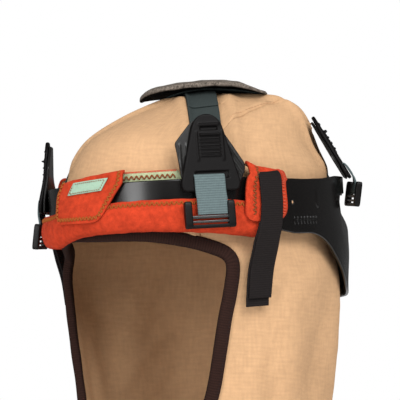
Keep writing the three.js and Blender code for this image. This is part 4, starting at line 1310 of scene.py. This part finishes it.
def sweatband_tabs():
    """The three tabs with their stitching."""
    for name, tab in TABS.items():
        made, wide = tab_sheet(name, tab)
        sewn = middle_tab_sewing(tab) if name == "middle" else side_tab_sewing(name, tab)
        flat = (wide * MM, tab["long"])
        flat[0] * flat[1] * tab["kept"]


def patch_place(across, down, off):
    """Turn, distance out and height on the patch, which slants across the front of the middle tab."""
    up = lerp(2.0, -5.6, down) + 1.6 * (across - 0.3)
    turn = lerp(-3.5, 12.2, across) + lerp(1.2, -1.2, down)
    return turn, column(TAB_FRONT, up) + FLEECE / 2 + off, up


def sweatband_patch():
    """Bare woven patch on the middle tab, slanted, with a stitched border."""
    across = np.linspace(0, 1, 31)[None]
    down = np.linspace(0, 1, 17)[:, None]
    points = ring(*patch_place(across, down, 0.75))
    core = ring(*patch_place(across, down, -9.25))
    flat = pattern(across * 29, down * 11)
    made = piece(
        "sweatband_patch_cloth", [(points, flat)], [PATCH], "patch", ["sweatband_patch"], away=core, wall=0.8,
    )
    border = np.concatenate([
        np.linspace((0.06, 0.12), (0.94, 0.12), 30),
        np.linspace((0.95, 0.15), (0.95, 0.85), 12),
        np.linspace((0.94, 0.88), (0.06, 0.88), 30),
        np.linspace((0.05, 0.85), (0.05, 0.15), 12),
    ])
    line = patch_place(*border.T, 1.25)
    row = running(ring(*line), ring_out(line[0]), 1.6, 0.7)
    sewn = threads("sweatband_patch_stitching", *row, 0.25, RUST_THREAD, "patch")


# Tape tails.

def tail_point(turn, side, across, out, up):
    """A point of a tape tail: its path lies in one upright plane and drifts as it hangs."""
    at, away, along = ring_frame(turn)
    across, out, up = np.broadcast_arrays(across, out, up)
    moved = across - side * column(TAIL_DRIFT, up)
    return tilt(at + away * out[..., None] + along * moved[..., None] + UP * up[..., None])


def tape_tails():
    """Black tape folded over the band by each ear: a front layer and a slightly longer back layer."""
    across = np.linspace(-TAIL_HALF, TAIL_HALF, 21)[None]
    path = curve(TAIL_PATH, 101, 800)
    sway = 0.5 * np.sin(path[:, 1:] / 11) * (across / TAIL_HALF)
    hanging = even(np.concatenate([path[45:], [path[-1] + (-0.2, -5)]]), 61)
    behind = 0.4 + 1.5 * ease(0, 0.25, np.linspace(0, 1, 61))[:, None]
    for name, (turn, side) in TAILS.items():
        core = tail_point(turn, side, 0.0, -30.0, -20.0)
        run = lengths(path)
        points = tail_point(turn, side, across, path[:, :1] + sway, path[:, 1:])
        front = piece(
            f"tape_tail_front_{name}", [(points, pattern(across, run[:, None]))], [TAPE], "tape",
            [f"tape_tail_{name}"], away=core, wall=1.1,
        )
        run = lengths(hanging)
        points = tail_point(turn, side, across - 0.5 * side, hanging[:, :1] - behind, hanging[:, 1:])
        back = piece(
            f"tape_tail_back_{name}", [(points, pattern(across, run[:, None]))], [TAPE], "tape",
            away=core, wall=1.0,
        )


# Crown straps and pad.

def hood_foot(points):
    """Turn and run where the ray from the straps' centre through each point leaves the hood."""
    ray = unit(points - STRAP_CENTRE)

    def place(far):
        p = STRAP_CENTRE + ray * far[..., None]
        run = run_at(np.maximum(CLOTH - p[..., 2], 0))
        return p, run, *oval_place(p[..., 0], p[..., 1], run)

    def within(far):
        p, _, _, spread = place(far)
        return (spread < 1) & (p[..., 2] < CLOTH)

    low = np.full(points.shape[:-1], 5.0)
    high = np.full(points.shape[:-1], 200.0)
    _, run, turn, _ = place(halve(low, high, within))
    return turn, run


def strap_sheet(strap, first, last, clear, half, skew=0.0):
    """A strap on the hood, its flat coordinates and its length.

    Rays fanned in an upright plane, from share first to last of the way between its ends, give its
    line, and each line across it is laid on the cloth at a clear height, raised by sin^12 of the
    ray's angle where the straps cross.
    """
    front, rear, lift = strap
    start, end = strap_ends(front, rear)
    along = unit((end - start) * [1, 1, 0])
    side = np.array([-along[1], along[0], 0])

    def rise(p):
        return np.arctan2(p[2] - STRAP_CENTRE[2], abs((p - STRAP_CENTRE) @ along))

    angle = lerp(np.pi - rise(start), rise(end), np.linspace(first, last, 161))[:, None]
    across = np.linspace(-half, half, 21)[None]
    angle = angle + skew * across / half * np.linspace(1, 0, 161)[:, None]
    ray = along * np.cos(angle)[..., None] + UP * np.sin(angle)[..., None]
    line = hood_plain(*hood_foot(STRAP_CENTRE + ray * 50))
    turn, run = hood_foot(line + side * across[..., None])
    points, _ = hood(turn, run, clear + lift * np.maximum(np.sin(angle), 0) ** 12)
    length = lengths(points[:, 10])
    return points, pattern(across, length[:, None]), length[-1]


def crown_straps():
    """Two crossed straps, and the short upper layer on the front left one."""
    core = np.array([0, 0, -60.0])
    for name, strap in STRAPS.items():
        points, flat, long = strap_sheet(strap, -0.05, 1.03, 1.15, STRAP_HALF)
        made = piece(
            f"crown_strap_webbing_{name}", [(points, flat)], [STRAP], "strap", [f"crown_strap_{name}"],
            away=core, wall=1.2,
        )
        long * MM
    points, flat, long = strap_sheet(STRAPS["under"], 0.265, 0.4, 2.45, STRAP_HALF - 0.3, 0.045)
    layer = piece("crown_strap_layer", [(points, flat)], [STRAP], "strap", away=core, wall=1.1)
    long * MM


def hood_top(x, y):
    """Height of the hood's outer face above a point of the plan."""
    low = np.full(x.shape, 0.01)
    high = np.full(x.shape, RUNS[4])
    run = halve(low, high, lambda middle: oval_place(x, y, middle)[1] > 1)
    return CLOTH - section(run)[0]


def pad_layer(a, share, up):
    """A layer of the pad: shares of the rounded square |u|^3.2 + |v|^3.2 = 1, a height above its base.

    The base sags by the table along the pad and by a square across it, and lies on the hood and the
    straps where they reach higher. The pad is thinner toward its front end.
    """
    reach = (np.abs(np.cos(a)) ** PAD_CORNER + np.abs(np.sin(a)) ** PAD_CORNER) ** (-1 / PAD_CORNER)
    u = PAD_AHEAD + PAD_HALF_LONG * share * reach * np.cos(a)
    v = PAD_HALF_WIDE * share * reach * np.sin(a)
    z = PAD_HEIGHT + column(PAD_SAG, u) - 0.0028 * v * v
    y, x = swung(v, u, PAD_TURN)
    p = tilt(np.stack([x, y, z], -1)) - RING_CENTRE
    x, y, z = p[..., 0], p[..., 1] - 2, p[..., 2]
    crossing = 1.7 * (64 / np.sqrt(64**2 + p[..., 0] ** 2 + p[..., 1] ** 2)) ** 12
    rest = np.maximum(z, hood_top(x, y) + 2.2 + crossing)
    return np.stack([x, y, rest + up * (1 - 0.45 * ease(22, 44, u))], -1)


def crown_pad():
    """Felt pad: underside, a half-round rim and a slightly crowned top, all a little uneven."""
    a = np.linspace(0, 2 * np.pi, 121)[None]
    inner = np.linspace(0, 1, 31)[:, None] ** 0.8
    edge = np.linspace(0, np.pi, 13)[1:-1, None]
    points = np.concatenate([
        pad_layer(a, inner, 0.0),
        pad_layer(a, 1 + 0.022 * np.sin(edge), PAD_WALL / 2 - PAD_WALL / 2 * np.cos(edge)),
        pad_layer(a, inner[::-1], PAD_WALL + 0.35 * (1 - inner[::-1] ** 4)),
    ])
    points = points + 0.3 * UP * lumps(points, 6)[..., None]
    # The underside and the lower part of the rim are 0 here and get the felt's near-black painted shade, for
    # the shadow under the pad.
    upper = ease(30, 36, np.arange(len(points)))[:, None] + 0 * a
    made = piece("crown_pad_felt", [(points, pattern(upper, 0))], [FELT], "felt", ["crown_pad"])


# Studio and camera.

def surround():
    """White world in three strengths: for soft light, in mirrored light and as the camera sees it."""
    world = bpy.data.worlds.new("surround")
    bpy.context.scene.world = world
    world.use_nodes = True
    tree = world.node_tree
    soft = tree.nodes["Background"]
    mirrored = tree.nodes.new("ShaderNodeBackground")
    seen = tree.nodes.new("ShaderNodeBackground")
    for node, strength in zip((soft, mirrored, seen), SURROUND):
        node.inputs["Color"].default_value = (1, 1, 1, 1)
        node.inputs["Strength"].default_value = strength
    rays = tree.nodes.new("ShaderNodeLightPath")
    shown = soft
    for kind, node in (("Is Glossy Ray", mirrored), ("Is Camera Ray", seen)):
        both = tree.nodes.new("ShaderNodeMixShader")
        tree.links.new(rays.outputs[kind], both.inputs[0])
        tree.links.new(shown.outputs[0], both.inputs[1])
        tree.links.new(node.outputs[0], both.inputs[2])
        shown = both
    tree.links.new(shown.outputs[0], tree.nodes["World Output"].inputs[0])


def studio():
    """White surround, a round pale floor under the hem, a large soft light from the right and a weak fill."""
    scene = bpy.context.scene
    scene.view_settings.view_transform = "Standard"
    surround()
    pale = Finish("floor", (0.8, 0.8, 0.8), 0.9)
    pale.tint(pale.noise(90), 1.05, 1.1)
    a = np.linspace(0, 2 * np.pi, 97)[None]
    r = np.linspace(0, FLOOR_RADIUS, 9)[:, None]
    points = np.stack([r * np.cos(a), r * np.sin(a), 0 * r * a + FLOOR_LEVEL], -1)
    floor = shape("floor", points.reshape(-1, 3), quads_of(9, 97), [pale.material], closed=False)
    for name, place, size, power in LIGHTS:
        light = bpy.data.lights.new(name, "AREA")
        light.shape = "RECTANGLE"
        light.size, light.size_y = size
        light.energy = power
        lamp = bpy.data.objects.new(name, light)
        lamp.location = place
        lamp.rotation_euler = (LIGHTS_AIM - Vector(place)).to_track_quat("-Z", "Y").to_euler()
        scene.collection.objects.link(lamp)


def camera():
    """Camera at the photograph's angle: 40 degrees to the wearer's left, 1.25 m away, looking slightly up."""
    lens = bpy.data.cameras.new("camera")
    lens.sensor_width = 36
    lens.lens = LENS
    made = bpy.data.objects.new("camera", lens)
    aside = Vector((np.sin(CAMERA_TURN), -np.cos(CAMERA_TURN), 0))
    made.location = aside * CAMERA_AWAY + Vector((0, 0, CAMERA_LEVEL))
    ahead = -aside * np.cos(CAMERA_PITCH) + Vector((0, 0, np.sin(CAMERA_PITCH)))
    made.rotation_euler = ahead.to_track_quat("-Z", "Y").to_euler()
    bpy.context.scene.collection.objects.link(made)
    bpy.context.scene.camera = made


camera()
studio()
hood_cover()
face_binding()
headband()
band_details()
nape_slider()
for row in CLIPS:
    hanger(row)
    snap_clip(row)
    clip_webbing(row)
    buckle(row)
sweatband_wrap()
sweatband_tabs()
sweatband_patch()
tape_tails()
crown_straps()
crown_pad()
